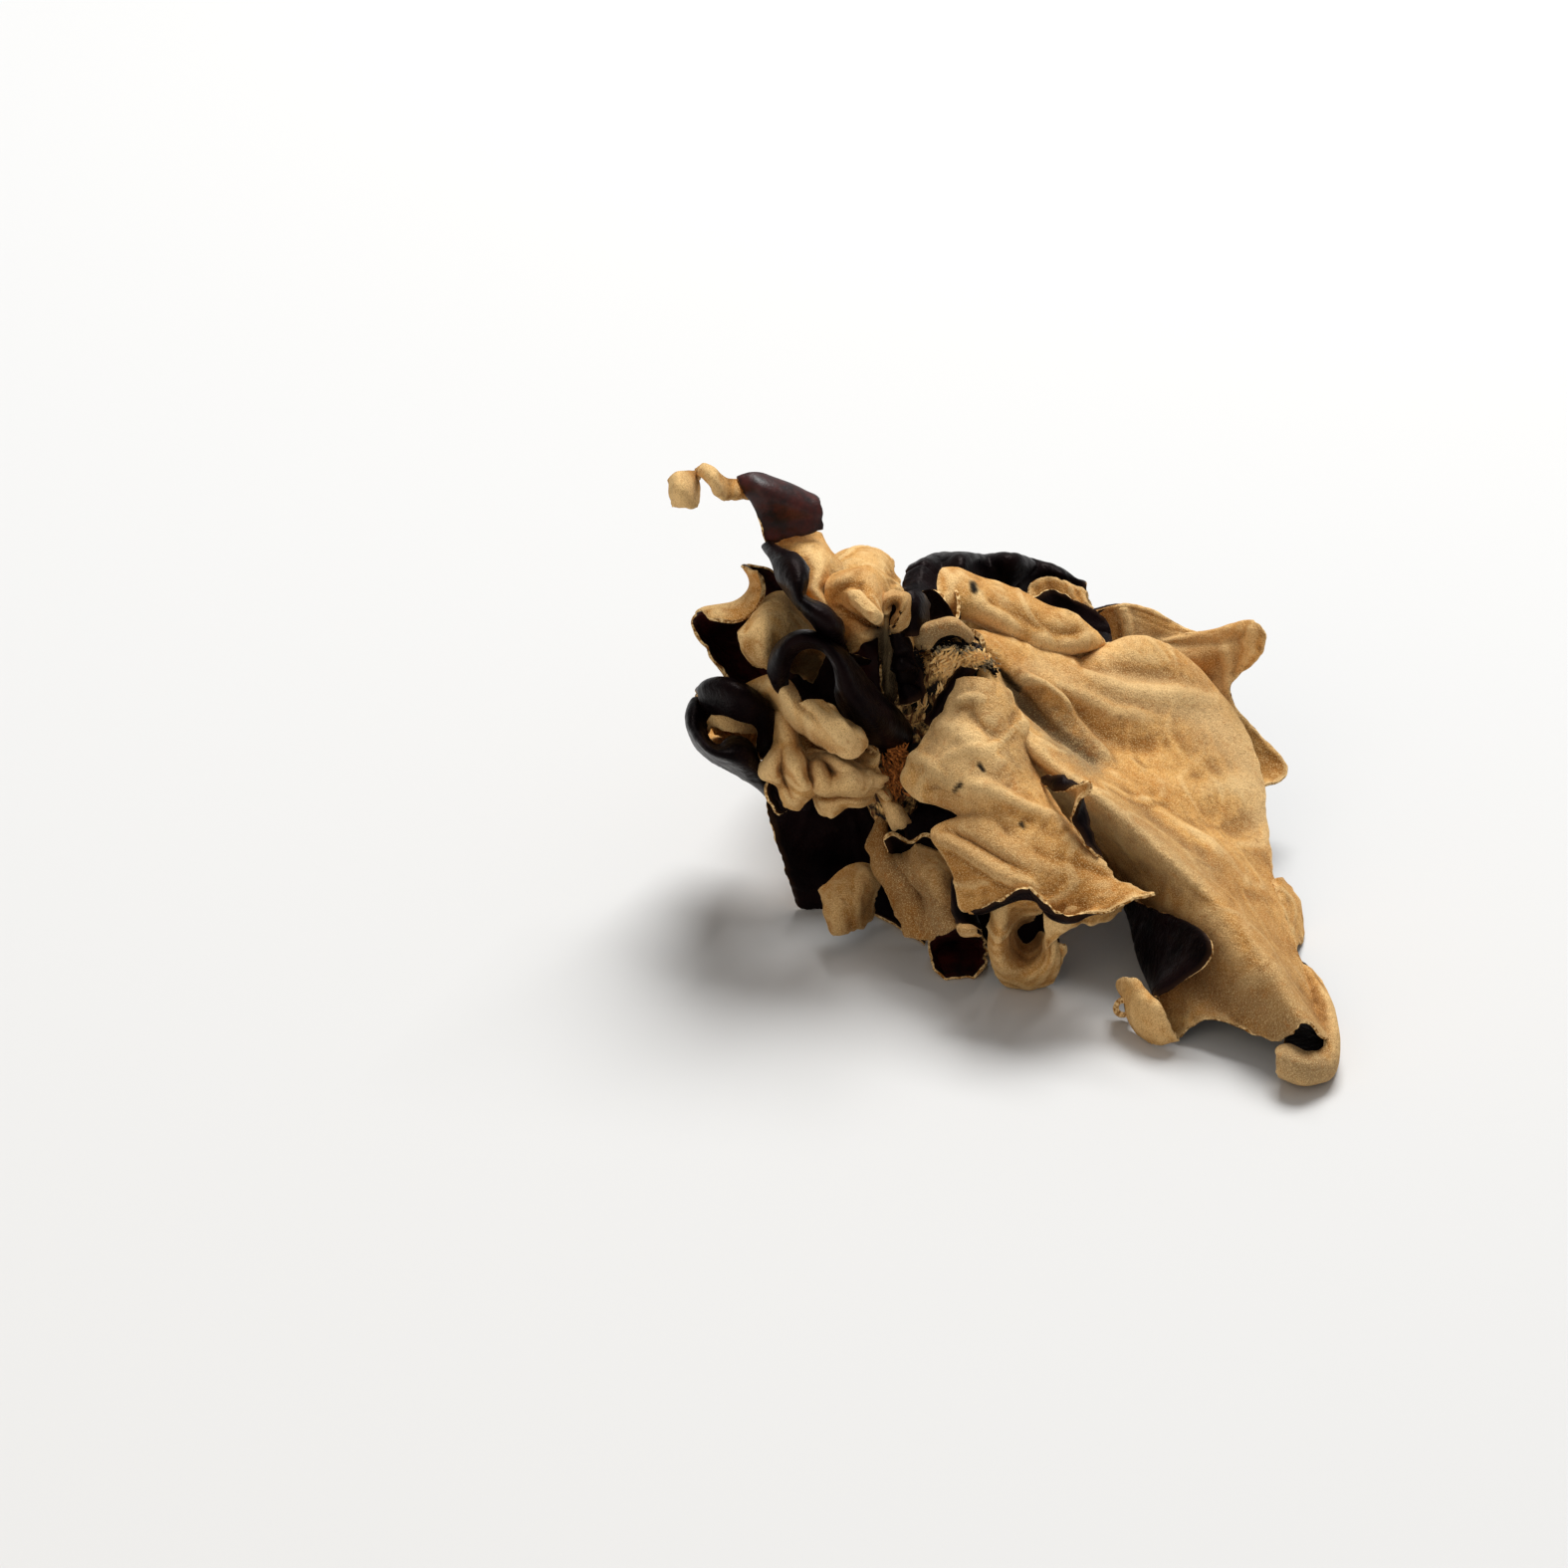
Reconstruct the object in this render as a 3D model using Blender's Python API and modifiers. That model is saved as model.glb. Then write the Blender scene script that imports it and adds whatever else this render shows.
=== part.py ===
"""Dried wood ear mushroom: one dried clump, its curled ears grown round a woody base.

Each ear is a thin sheet laid over a few ribs, velvety on one side and smooth on the other.
The ears are trimmed round the base and round each other, and the clump rests on its lowest rims.
Metres, +Z up, with the origin at the middle of the clump's footprint.
"""

import math

import bmesh
import bpy
from mathutils import Vector
from mathutils.bvhtree import BVHTree

MM = 0.001

# Driving dimensions, in millimetres
EAR_THICKNESS = 1.3
TRIM_GAP = 0.4
BASE_RADIUS = 8.0
BASE_LUMP_HEIGHT = 0.9

# The least share of an ear's surface that its trims may leave
LEAST_LEFT = 0.25

# The drawing view: the ribs are drawn as seen from here, looking level and then pitched down
VIEW_DISTANCE = 890.0
VIEW_PITCH = math.radians(28.3)
VIEW_AIM = Vector((-47.9, 0.0, 40.1))
VIEW_STEP = 0.22
VIEW_MIDDLE = 787.5

# The middle of the clump's footprint, measured from the base in millimetres
FOOTPRINT_MIDDLE = Vector((-1.5, 22.2, 0.0))

COLLECTION_NAME = "dried_wood_ear_mushroom"
CUTTER_COLLECTION_NAME = "trimming_shapes"

# Each list below is one sheet, drawn by the ribs that cross it. A point is three numbers: steps
# to the right and steps down in the drawing view, then millimetres back from the base's foot.

MAIN_EAR = [
    [(970, 696, 18), (992, 752, 18), (1036, 816, 13), (1081, 865, 6), (1148, 908, -16),
     (1219, 948, -43), (1164, 1000, -44)],
    [(974, 693, 17), (996, 748, 16), (1038, 813, 11), (1083, 862, 5), (1139, 907, -13),
     (1186, 947, -35), (1158, 1001, -42)],
    [(978, 690, 16), (1000, 745, 14), (1040, 810, 10), (1085, 860, 4), (1128, 905, -8),
     (1145, 955, -22), (1163, 1005, -36)],
    [(979, 686, 17), (1001, 740, 14), (1042, 805, 9), (1090, 862, 3), (1136, 912, -8),
     (1161, 966, -24), (1180, 1042, -43)],
    [(980, 682, 17), (1002, 735, 15), (1045, 800, 11), (1095, 862, 8), (1145, 915, -6),
     (1180, 975, -26), (1205, 1027, -44)],
    [(981, 677, 17), (1003, 729, 14), (1044, 791, 10), (1096, 850, 8), (1150, 911, -6),
     (1196, 980, -30), (1250, 1035, -50)],
    [(982, 672, 18), (1003, 722, 12), (1042, 780, 7), (1098, 834, 4), (1157, 900, -10),
     (1220, 978, -36), (1291, 1046, -57)],
    [(985, 664, 18), (1010, 714, 8), (1048, 762, -1), (1105, 806, -10), (1178, 870, -23),
     (1252, 942, -40), (1312, 1030, -61)],
    [(988, 658, 21), (1022, 705, 22), (1066, 754, 13), (1120, 798, 5), (1186, 852, -7),
     (1262, 930, -25), (1331, 1042, -52)],
    [(988, 652, 22), (1027, 692, 24), (1076, 738, 20), (1127, 775, 16), (1184, 815, 9),
     (1243, 865, 3), (1303, 955, -20)],
    [(986, 646, 23), (1030, 680, 25), (1080, 718, 26), (1130, 750, 24), (1180, 785, 20),
     (1232, 828, 18), (1279, 878, 12)],
    [(982, 640, 26), (1030, 666, 29), (1080, 686, 32), (1130, 700, 36), (1180, 715, 40),
     (1228, 745, 42), (1269, 792, 38)],
    [(975, 634, 30), (1025, 652, 36), (1070, 663, 42), (1110, 655, 48), (1150, 645, 54),
     (1200, 672, 57), (1245, 722, 54)],
    [(970, 638, 33), (1022, 656, 42), (1070, 668, 50), (1114, 662, 57), (1157, 656, 63),
     (1202, 682, 64), (1240, 730, 60)],
]

FRONT_EAR = [
    [(962, 684, 10), (940, 728, 6), (913, 768, 2), (918, 798, -4), (962, 819, -12),
     (937, 835, -14), (954, 868, -22), (963, 903, -27), (970, 911, -28)],
    [(972, 681, 7), (962, 722, 0), (945, 765, -6), (950, 798, -12), (978, 818, -17),
     (968, 838, -20), (975, 875, -26), (986, 914, -31), (990, 912, -34)],
    [(984, 682, 5), (988, 720, -3), (985, 765, -11), (990, 798, -17), (1000, 820, -21),
     (1005, 842, -25), (1018, 872, -31), (1032, 903, -35), (1036, 896, -39)],
    [(994, 686, 6), (1010, 722, 0), (1020, 768, -8), (1030, 798, -14), (1038, 820, -18),
     (1048, 845, -23), (1060, 878, -30), (1070, 917, -34), (1074, 917, -36)],
    [(1003, 691, 9), (1026, 728, 6), (1042, 776, 0), (1052, 798, -5), (1068, 820, -10),
     (1085, 845, -16), (1110, 868, -24), (1140, 888, -31), (1166, 900, -37)],
]

RIGHT_EAR = [
    [(966, 702, 28), (1088, 735, 48), (1200, 778, 46), (1270, 790, 40)],
    [(967, 699, 29), (1088, 722, 52), (1200, 745, 54), (1292, 766, 50)],
    [(968, 696, 30), (1086, 708, 56), (1190, 708, 60), (1240, 707, 58)],
    [(969, 693, 31), (1082, 698, 59), (1180, 686, 66), (1254, 672, 60)],
    [(970, 690, 31), (1078, 690, 61), (1170, 670, 68), (1274, 642, 58)],
    [(970, 687, 32), (1072, 684, 63), (1160, 658, 71), (1262, 624, 62)],
    [(970, 684, 32), (1067, 678, 64), (1145, 650, 73), (1238, 631, 68)],
    [(970, 680, 33), (1060, 672, 65), (1130, 646, 74), (1207, 636, 73)],
    [(969, 676, 33), (1054, 664, 66), (1115, 636, 75), (1170, 619, 77)],
    [(968, 672, 34), (1047, 654, 66), (1098, 624, 75), (1130, 606, 78)],
    [(966, 668, 34), (1040, 644, 64), (1072, 618, 72), (1096, 612, 74)],
    [(965, 660, 36), (1020, 602, 66), (1052, 579, 74), (1090, 594, 78)],
]

UPPER_EAR = [
    [(944, 580, 42), (942, 596, 35), (948, 616, 33), (950, 604, 44), (946, 582, 50)],
    [(958, 573, 46), (957, 592, 36), (962, 618, 35), (966, 606, 50), (960, 575, 54)],
    [(976, 578, 47), (975, 598, 36), (984, 626, 36), (990, 612, 54), (978, 581, 57)],
    [(1000, 584, 48), (1000, 606, 36), (1010, 636, 38), (1018, 620, 58), (1002, 588, 60)],
    [(1032, 599, 49), (1030, 620, 39), (1040, 648, 41), (1050, 630, 60), (1036, 598, 63)],
    [(1055, 611, 49), (1056, 630, 41), (1066, 654, 43), (1072, 634, 61), (1056, 590, 67)],
    [(1076, 616, 49), (1078, 634, 44), (1088, 653, 46), (1092, 636, 61), (1080, 601, 67)],
    [(1094, 628, 51), (1097, 638, 48), (1103, 650, 50), (1108, 642, 61), (1104, 616, 67)],
    [(1104, 638, 53), (1108, 643, 53), (1112, 648, 54), (1117, 646, 59), (1117, 634, 65)],
]

BACK_EAR = [
    [(905, 600, 48), (907, 588, 58), (913, 573, 69), (914, 590, 82), (912, 640, 92), (908, 742, 101)],
    [(925, 600, 48), (926, 582, 56), (928, 563, 68), (928, 577, 84), (926, 640, 95), (922, 746, 104)],
    [(945, 600, 52), (945, 580, 63), (946, 558, 75), (946, 575, 90), (944, 640, 101), (942, 752, 108)],
    [(966, 604, 58), (967, 581, 62), (968, 558, 69), (968, 573, 87), (966, 640, 101), (964, 755, 107)],
    [(992, 606, 68), (991, 582, 73), (990, 560, 80), (992, 574, 94), (992, 640, 106), (990, 758, 112)],
    [(1016, 611, 74), (1016, 586, 76), (1015, 560, 77), (1018, 574, 92), (1018, 640, 103),
     (1018, 758, 109)],
    [(1042, 616, 80), (1043, 592, 83), (1042, 567, 86), (1046, 579, 98), (1048, 640, 106),
     (1050, 757, 111)],
    [(1064, 622, 82), (1065, 597, 83), (1065, 573, 83), (1070, 586, 95), (1074, 640, 103),
     (1080, 753, 107)],
    [(1086, 630, 83), (1089, 612, 84), (1089, 590, 85), (1096, 601, 93), (1104, 640, 98),
     (1116, 742, 101)],
]

TALL_EAR_STEM = [
    [(774, 547, 24), (797, 556, 11), (809, 565, 7), (814, 576, 6), (811, 589, 4), (811, 600, 2),
     (828, 607, -1), (840, 616, -2), (848, 626, 0), (850, 638, 3), (852, 650, 11), (868, 660, 19),
     (902, 668, 24)],
    [(772, 548, 23), (786, 560, 9), (795, 569, 3), (799, 580, 0), (801, 591, -2), (805, 603, -3),
     (818, 613, -6), (830, 624, -7), (837, 634, -5), (841, 645, 1), (846, 656, 10), (864, 665, 19),
     (901, 672, 24)],
    [(768, 549, 25), (775, 562, 15), (779, 574, 11), (783, 585, 8), (791, 595, 6), (799, 606, 3),
     (808, 616, 0), (817, 626, 0), (823, 636, 3), (829, 648, 8), (836, 660, 15), (859, 669, 21),
     (901, 676, 26)],
    [(778, 547, 28), (792, 560, 22), (803, 574, 17), (806, 586, 13), (806, 596, 12), (812, 606, 10),
     (822, 618, 8), (832, 628, 8), (838, 638, 10), (843, 650, 14), (849, 660, 19), (868, 668, 23),
     (902, 676, 27)],
    [(798, 542, 30), (812, 556, 21), (821, 570, 15), (819, 584, 11), (817, 594, 9), (823, 604, 8),
     (833, 616, 9), (842, 626, 10), (848, 637, 13), (853, 648, 17), (858, 658, 21), (874, 667, 25),
     (903, 675, 29)],
    [(816, 538, 32), (826, 552, 26), (832, 567, 20), (829, 582, 15), (824, 592, 12), (829, 603, 11),
     (839, 614, 12), (848, 625, 13), (854, 636, 16), (858, 647, 19), (864, 657, 23), (878, 666, 27),
     (904, 674, 31)],
    [(822, 539, 34), (833, 556, 31), (845, 571, 26), (839, 584, 20), (832, 595, 17), (836, 606, 15),
     (846, 616, 16), (855, 626, 17), (860, 637, 19), (864, 648, 22), (870, 657, 25), (882, 665, 29),
     (905, 672, 32)],
]

TALL_EAR_FLAG = [
    [(742, 488, 34), (740, 480, 30), (748, 497, 26), (760, 520, 25), (768, 548, 24)],
    [(765, 484, 36), (762, 478, 30), (768, 496, 25), (776, 520, 26), (785, 544, 25)],
    [(796, 496, 38), (794, 489, 32), (797, 504, 27), (801, 520, 27), (805, 539, 26)],
    [(822, 508, 40), (823, 500, 34), (827, 510, 30), (827, 521, 29), (826, 532, 28)],
]

TALL_EAR_RIBBON = [
    [(671, 484, 24), (672, 496, 20), (676, 508, 24)],
    [(680, 476, 18), (683, 494, 14), (690, 511, 18)],
    [(690, 474, 24), (694, 490, 21), (700, 508, 24)],
    [(700, 473, 30), (700, 481, 28), (701, 490, 29)],
    [(708, 468, 24), (706, 473, 22), (704, 479, 23)],
    [(716, 471, 19), (715, 481, 16), (713, 492, 18)],
    [(722, 477, 21), (722, 490, 18), (722, 502, 20)],
    [(730, 482, 27), (732, 492, 24), (734, 503, 25)],
    [(746, 483, 31), (750, 492, 29), (756, 502, 28)],
]

MID_EAR = [
    [(832, 583, 16), (829, 591, 13), (828, 600, 11), (831, 607, 10), (837, 613, 10), (845, 621, 10),
     (849, 632, 11), (851, 644, 12), (854, 656, 14)],
    [(839, 579, 16), (838, 586, 11), (840, 592, 9), (844, 598, 8), (850, 604, 7), (854, 618, 9),
     (857, 630, 8), (858, 641, 8), (860, 651, 11)],
    [(850, 575, 16), (849, 580, 10), (850, 586, 8), (853, 593, 7), (858, 601, 4), (862, 614, 8),
     (865, 627, 8), (866, 638, 6), (866, 645, 9)],
    [(862, 572, 16), (862, 577, 11), (863, 585, 8), (866, 597, 5), (869, 610, 1), (872, 619, 6),
     (875, 628, 8), (876, 636, 6), (875, 642, 10)],
    [(875, 572, 18), (876, 577, 13), (878, 587, 9), (880, 603, 5), (881, 620, 2), (883, 627, 6),
     (885, 634, 8), (885, 641, 9), (885, 648, 12)],
    [(888, 580, 22), (888, 585, 20), (889, 590, 19), (891, 598, 18), (892, 608, 19), (892, 622, 20),
     (891, 645, 19), (888, 672, 18), (884, 700, 16)],
    [(904, 594, 30), (905, 598, 28), (906, 603, 27), (908, 610, 27), (910, 622, 27), (912, 640, 27),
     (913, 662, 26), (912, 688, 24), (909, 712, 22)],
]

BACK_LEFT_EAR = [
    [(815, 625, 80), (825, 580, 62), (824, 602, 50), (850, 640, 34)],
    [(832, 612, 88), (838, 562, 64), (841, 590, 44), (862, 635, 30)],
    [(855, 608, 92), (858, 554, 66), (862, 584, 42), (873, 632, 28)],
    [(880, 608, 90), (880, 556, 66), (884, 586, 44), (886, 636, 30)],
    [(900, 614, 84), (898, 569, 66), (902, 598, 52), (900, 645, 34)],
]

LEFT_EAR = [
    [(709, 621, 14), (700, 612, 19), (694, 626, 21), (702, 642, 20), (717, 665, 17), (732, 684, 14)],
    [(724, 623, 12), (717, 611, 20), (716, 636, 31), (722, 652, 30), (735, 672, 26), (745, 690, 20)],
    [(740, 624, 14), (732, 609, 22), (738, 636, 34), (744, 655, 33), (752, 675, 28), (757, 692, 22)],
    [(756, 615, 16), (746, 602, 24), (756, 628, 35), (760, 650, 34), (764, 675, 29), (768, 692, 24)],
    [(766, 598, 18), (755, 588, 26), (766, 615, 34), (772, 640, 33), (776, 670, 28), (778, 690, 24)],
    [(766, 582, 20), (753, 575, 27), (774, 595, 31), (784, 620, 31), (788, 655, 28), (790, 685, 25)],
    [(760, 573, 22), (746, 567, 26), (774, 571, 26), (790, 590, 26), (797, 630, 27), (800, 680, 26)],
]

PATCH_EAR = [
    [(741, 636, 14), (743, 640, 12), (745, 646, 12), (748, 653, 12), (752, 661, 12), (758, 668, 13)],
    [(750, 629, 15), (752, 636, 9), (754, 646, 8), (757, 656, 7), (761, 664, 7), (765, 672, 9)],
    [(761, 613, 19), (763, 624, 10), (765, 640, 6), (768, 652, 5), (771, 663, 6), (773, 675, 8)],
    [(774, 600, 23), (776, 614, 14), (778, 632, 9), (779, 648, 8), (779, 660, 9), (779, 673, 12)],
    [(788, 597, 25), (790, 612, 17), (793, 630, 12), (794, 645, 12), (793, 658, 14), (790, 673, 16)],
    [(800, 607, 27), (804, 620, 20), (809, 636, 16), (810, 650, 17), (808, 664, 18), (803, 680, 20)],
    [(812, 614, 29), (820, 628, 24), (828, 642, 22), (828, 655, 22), (824, 668, 23), (816, 686, 24)],
]

HOOD_EAR = [
    [(788, 700, 4), (779, 692, 0), (774, 678, 1), (778, 680, 5)],
    [(790, 676, 0), (782, 668, -4), (776, 660, 1), (780, 664, 6)],
    [(796, 660, -2), (788, 650, -5), (785, 645, 2), (789, 650, 8)],
    [(808, 650, -3), (802, 640, -5), (800, 636, 3), (803, 642, 10)],
    [(826, 652, -3), (822, 643, -5), (821, 637, 4), (822, 645, 11)],
    [(840, 672, -3), (842, 660, -6), (848, 655, 4), (846, 662, 12)],
    [(840, 698, -2), (855, 688, -7), (868, 678, 5), (862, 688, 14)],
    [(848, 718, -2), (868, 708, -7), (884, 698, 6), (876, 708, 15)],
    [(864, 738, 1), (884, 726, -5), (900, 713, 8), (892, 722, 16)],
    [(882, 752, 7), (898, 740, 1), (912, 729, 11), (904, 737, 18)],
    [(898, 758, 14), (910, 750, 10), (922, 741, 15), (914, 748, 20)],
]

RUFFLE_LEAF = [
    [(748, 689, 12), (751, 700, 12), (754, 712, 14), (758, 724, 15), (762, 736, 15)],
    [(758, 684, 10), (762, 694, 8), (766, 706, 12), (771, 720, 13), (774, 734, 14)],
    [(770, 679, 8), (773, 690, 5), (777, 703, 10), (782, 718, 11), (786, 733, 11)],
    [(784, 680, 6), (785, 691, -1), (788, 705, -1), (793, 720, 1), (799, 734, 3)],
    [(797, 690, 3), (797, 702, -2), (801, 716, -4), (807, 730, -3), (812, 744, -1)],
    [(804, 706, -2), (808, 716, -5), (814, 727, -7), (821, 739, -6), (827, 753, -4)],
    [(819, 704, -3), (824, 716, -6), (831, 728, -9), (838, 742, -9), (842, 760, -7)],
    [(835, 705, -4), (841, 716, -7), (848, 728, -10), (855, 743, -9), (857, 761, -7)],
    [(847, 718, -4), (852, 725, -6), (859, 733, -8), (864, 743, -7), (866, 756, -4)],
    [(857, 726, -2), (862, 731, -3), (867, 737, -4), (869, 743, -3), (868, 750, -1)],
]
RUFFLE_FOOT = [
    [(776, 716, 13), (776, 732, 10), (776, 748, 7), (769, 761, 3), (763, 779, 0), (777, 785, 1),
     (784, 798, 1), (790, 809, 3)],
    [(780, 716, 10), (782, 732, 5), (783, 748, 1), (779, 760, -5), (776, 773, -7), (784, 787, -5),
     (791, 800, -4), (797, 813, 0)],
    [(784, 716, 8), (788, 732, 1), (789, 748, -2), (786, 762, -3), (785, 776, -1), (790, 790, -2),
     (797, 802, -4), (803, 813, 0)],
    [(788, 717, 8), (794, 734, 2), (795, 750, -3), (795, 762, -8), (799, 777, -10), (804, 790, -9),
     (806, 797, -6), (809, 804, -1)],
    [(792, 720, 9), (797, 736, 5), (798, 751, 0), (804, 764, -6), (808, 778, -7), (813, 788, -7),
     (816, 793, -5), (818, 796, 0)],
    [(794, 722, 13), (798, 738, 10), (801, 752, 6), (808, 766, 1), (812, 778, 1), (817, 788, 1),
     (820, 793, 2), (822, 796, 5)],
]
RUFFLE_SKIRT = [
    [(796, 730, 13), (802, 748, 11), (806, 762, 7), (811, 772, 0), (810, 784, 0), (814, 795, 2),
     (817, 800, 6), (820, 808, 6), (824, 818, 8)],
    [(812, 740, 12), (815, 752, 11), (818, 762, 4), (821, 766, -6), (822, 780, -8), (821, 794, -6),
     (821, 799, 1), (823, 808, 1), (828, 821, 4)],
    [(826, 748, 11), (828, 757, 9), (831, 761, -3), (832, 771, -1), (834, 783, -6), (835, 794, -8),
     (835, 799, 0), (834, 808, -1), (837, 824, 2)],
    [(840, 754, 10), (843, 762, 4), (846, 767, -6), (848, 776, -8), (848, 786, -10), (848, 794, -8),
     (847, 799, -1), (846, 805, -2), (847, 813, 2)],
    [(853, 760, 8), (857, 768, 3), (861, 774, -4), (863, 782, -8), (862, 790, -9), (862, 796, -7),
     (861, 800, -3), (861, 805, -4), (862, 810, 0)],
    [(866, 758, 6), (872, 768, 2), (876, 776, -1), (877, 784, -4), (876, 790, -4), (875, 795, -3),
     (874, 799, -1), (873, 803, -1), (871, 808, 2)],
    [(872, 748, 3), (880, 760, 1), (885, 773, 1), (887, 783, 1), (887, 790, 1), (885, 796, 2),
     (883, 799, 3), (881, 802, 3), (879, 806, 5)],
]

ROUND_EAR_SHELL = [
    [(703, 710, 15), (700, 697, 14), (699, 704, 24), (716, 738, 32)],
    [(716, 716, 10), (708, 688, 10), (711, 698, 26), (723, 740, 34)],
    [(730, 718, 5), (725, 683, 7), (729, 697, 27), (730, 742, 35)],
    [(744, 723, 3), (744, 688, 5), (744, 702, 27), (737, 744, 35)],
    [(756, 727, 4), (762, 699, 6), (759, 712, 25), (742, 745, 34)],
    [(760, 735, 5), (776, 719, 7), (769, 728, 23), (745, 747, 33)],
    [(760, 747, 6), (776, 742, 8), (768, 746, 22), (745, 750, 31)],
    [(757, 758, 8), (767, 763, 10), (760, 762, 20), (742, 754, 29)],
]

ROUND_EAR_CUP = [
    [(716, 712, 22), (704, 702, 19), (697, 706, 21), (702, 722, 30), (715, 726, 40)],
    [(713, 721, 15), (700, 714, 12), (691, 716, 16), (697, 734, 28), (715, 727, 40)],
    [(707, 731, 11), (697, 729, 8), (692, 730, 13), (700, 745, 26), (717, 728, 41)],
    [(709, 741, 8), (703, 741, 3), (700, 743, 8), (710, 756, 22), (722, 728, 41)],
    [(716, 749, 4), (712, 752, -2), (713, 755, 2), (722, 764, 20), (728, 729, 42)],
    [(725, 750, 2), (724, 757, -5), (726, 763, 0), (732, 769, 18), (734, 731, 42)],
    [(733, 743, 4), (736, 757, -5), (738, 769, 0), (742, 774, 18), (740, 733, 41)],
    [(742, 742, 5), (747, 760, -4), (750, 777, 2), (754, 781, 18), (747, 736, 40)],
    [(751, 747, 6), (757, 767, -1), (762, 786, 6), (764, 789, 18), (754, 741, 37)],
    [(759, 756, 8), (768, 776, 5), (775, 797, 12), (774, 798, 20), (761, 750, 34)],
]

ROUND_EAR_TONGUE = [
    [(706, 728, 14), (710, 740, 14)],
    [(713, 722, 11), (718, 730, 10)],
    [(722, 716, 9), (728, 735, 7)],
    [(742, 724, 9), (742, 737, 8)],
    [(764, 726, 14), (764, 737, 13)],
]

LOWER_LEFT_EAR = [
    [(884, 812, 15), (877, 832, 11), (871, 848, 7), (873, 863, 3), (882, 881, 0), (893, 897, -4),
     (901, 918, -8), (912, 937, -12)],
    [(889, 812, 12), (885, 832, 7), (884, 848, 3), (887, 866, -2), (895, 884, -5), (904, 902, -8),
     (911, 921, -13), (922, 945, -16)],
    [(891, 836, 8), (890, 847, 4), (891, 858, 0), (895, 871, -4), (902, 886, -7), (910, 902, -10),
     (917, 921, -14), (927, 946, -17)],
    [(896, 857, 3), (898, 863, -1), (902, 872, -4), (908, 882, -7), (914, 893, -9), (920, 907, -12),
     (926, 925, -16), (935, 945, -17)],
    [(906, 862, 1), (910, 868, -4), (914, 877, -7), (920, 887, -8), (925, 898, -9), (930, 911, -13),
     (936, 927, -17), (944, 941, -19)],
    [(921, 855, 0), (924, 864, -6), (929, 875, -11), (935, 887, -13), (939, 899, -14), (942, 911, -17),
     (947, 925, -20), (953, 935, -20)],
    [(936, 856, -1), (940, 866, -8), (945, 878, -13), (948, 890, -14), (950, 902, -16), (952, 914, -18),
     (956, 925, -20), (961, 931, -20)],
    [(949, 859, -1), (954, 868, -6), (957, 878, -9), (955, 890, -10), (955, 902, -13), (957, 912, -15),
     (961, 922, -17), (967, 929, -18)],
]

PITCHER_EAR = [
    [(1040, 920, -10), (1047, 912, -24), (1056, 904, -29), (1062, 897, -27)],
    [(1028, 924, -10), (1022, 914, -25), (1012, 903, -30), (1008, 894, -26)],
    [(1020, 932, -10), (1012, 930, -26), (1003, 926, -30), (995, 922, -25)],
    [(1020, 942, -10), (1011, 946, -25), (1001, 952, -29), (994, 957, -23)],
    [(1026, 950, -10), (1019, 961, -24), (1010, 974, -28), (1004, 983, -21)],
    [(1034, 951, -10), (1034, 966, -23), (1034, 982, -26), (1033, 992, -18)],
    [(1042, 945, -10), (1048, 957, -24), (1057, 968, -28), (1063, 975, -22)],
    [(1045, 934, -10), (1052, 940, -25), (1060, 945, -29), (1067, 947, -26)],
]

PITCHER_EAR_STRIP = [
    [(1050, 897, -24), (1050, 925, -31), (1050, 955, -27)],
    [(1080, 898, -27), (1075, 915, -33), (1068, 935, -31)],
    [(1105, 896, -25), (1100, 910, -29), (1095, 925, -27)],
    [(1130, 893, -19), (1130, 905, -22), (1129, 918, -22)],
]

BLADE_EAR = [
    [(1048, 778, -4), (1057, 775, -7), (1067, 776, -9), (1077, 782, -11), (1084, 788, -12),
     (1088, 794, -13), (1091, 803, -14), (1094, 818, -16), (1099, 834, -18), (1105, 849, -20),
     (1110, 865, -22)],
    [(1046, 781, -5), (1055, 785, -9), (1065, 787, -12), (1075, 789, -14), (1083, 790, -16),
     (1086, 796, -17), (1084, 806, -17), (1085, 819, -18), (1090, 835, -20), (1099, 851, -21),
     (1107, 861, -23)],
    [(1045, 785, -6), (1053, 793, -10), (1063, 796, -13), (1076, 792, -16), (1090, 784, -19),
     (1096, 790, -21), (1087, 803, -21), (1078, 819, -20), (1082, 836, -21), (1094, 851, -23),
     (1104, 858, -24)],
]

LOW_EAR = [
    [(820, 893, 2), (824, 908, -2), (828, 924, -4), (836, 940, -4)],
    [(832, 887, 4), (836, 902, -4), (840, 920, -7), (844, 938, -6)],
    [(844, 877, 5), (848, 894, -3), (850, 912, -6), (852, 936, -4)],
    [(858, 870, 7), (862, 888, -1), (862, 908, -3), (860, 931, 0)],
    [(872, 870, 9), (875, 883, 2), (872, 902, 2), (867, 922, 5)],
    [(884, 884, 11), (883, 890, 7), (878, 901, 7), (872, 913, 9)],
]

UNDER_EAR = [
    [(772, 702, 36), (766, 740, 30), (766, 775, 24), (770, 805, 18), (778, 840, 12),
     (790, 880, 12), (800, 914, 13)],
    [(800, 664, 40), (796, 740, 31), (800, 785, 24), (805, 815, 18), (812, 848, 15),
     (820, 884, 14), (826, 924, 13)],
    [(836, 644, 40), (838, 735, 31), (840, 790, 24), (845, 825, 18), (850, 852, 17),
     (856, 886, 15), (860, 926, 12)],
    [(868, 640, 36), (872, 735, 28), (876, 795, 22), (884, 835, 18), (890, 865, 17),
     (896, 900, 12), (898, 938, 6)],
    [(908, 650, 33), (905, 745, 28), (908, 812, 22), (916, 850, 17), (922, 885, 12),
     (928, 925, 4), (928, 962, -3)],
]

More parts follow.
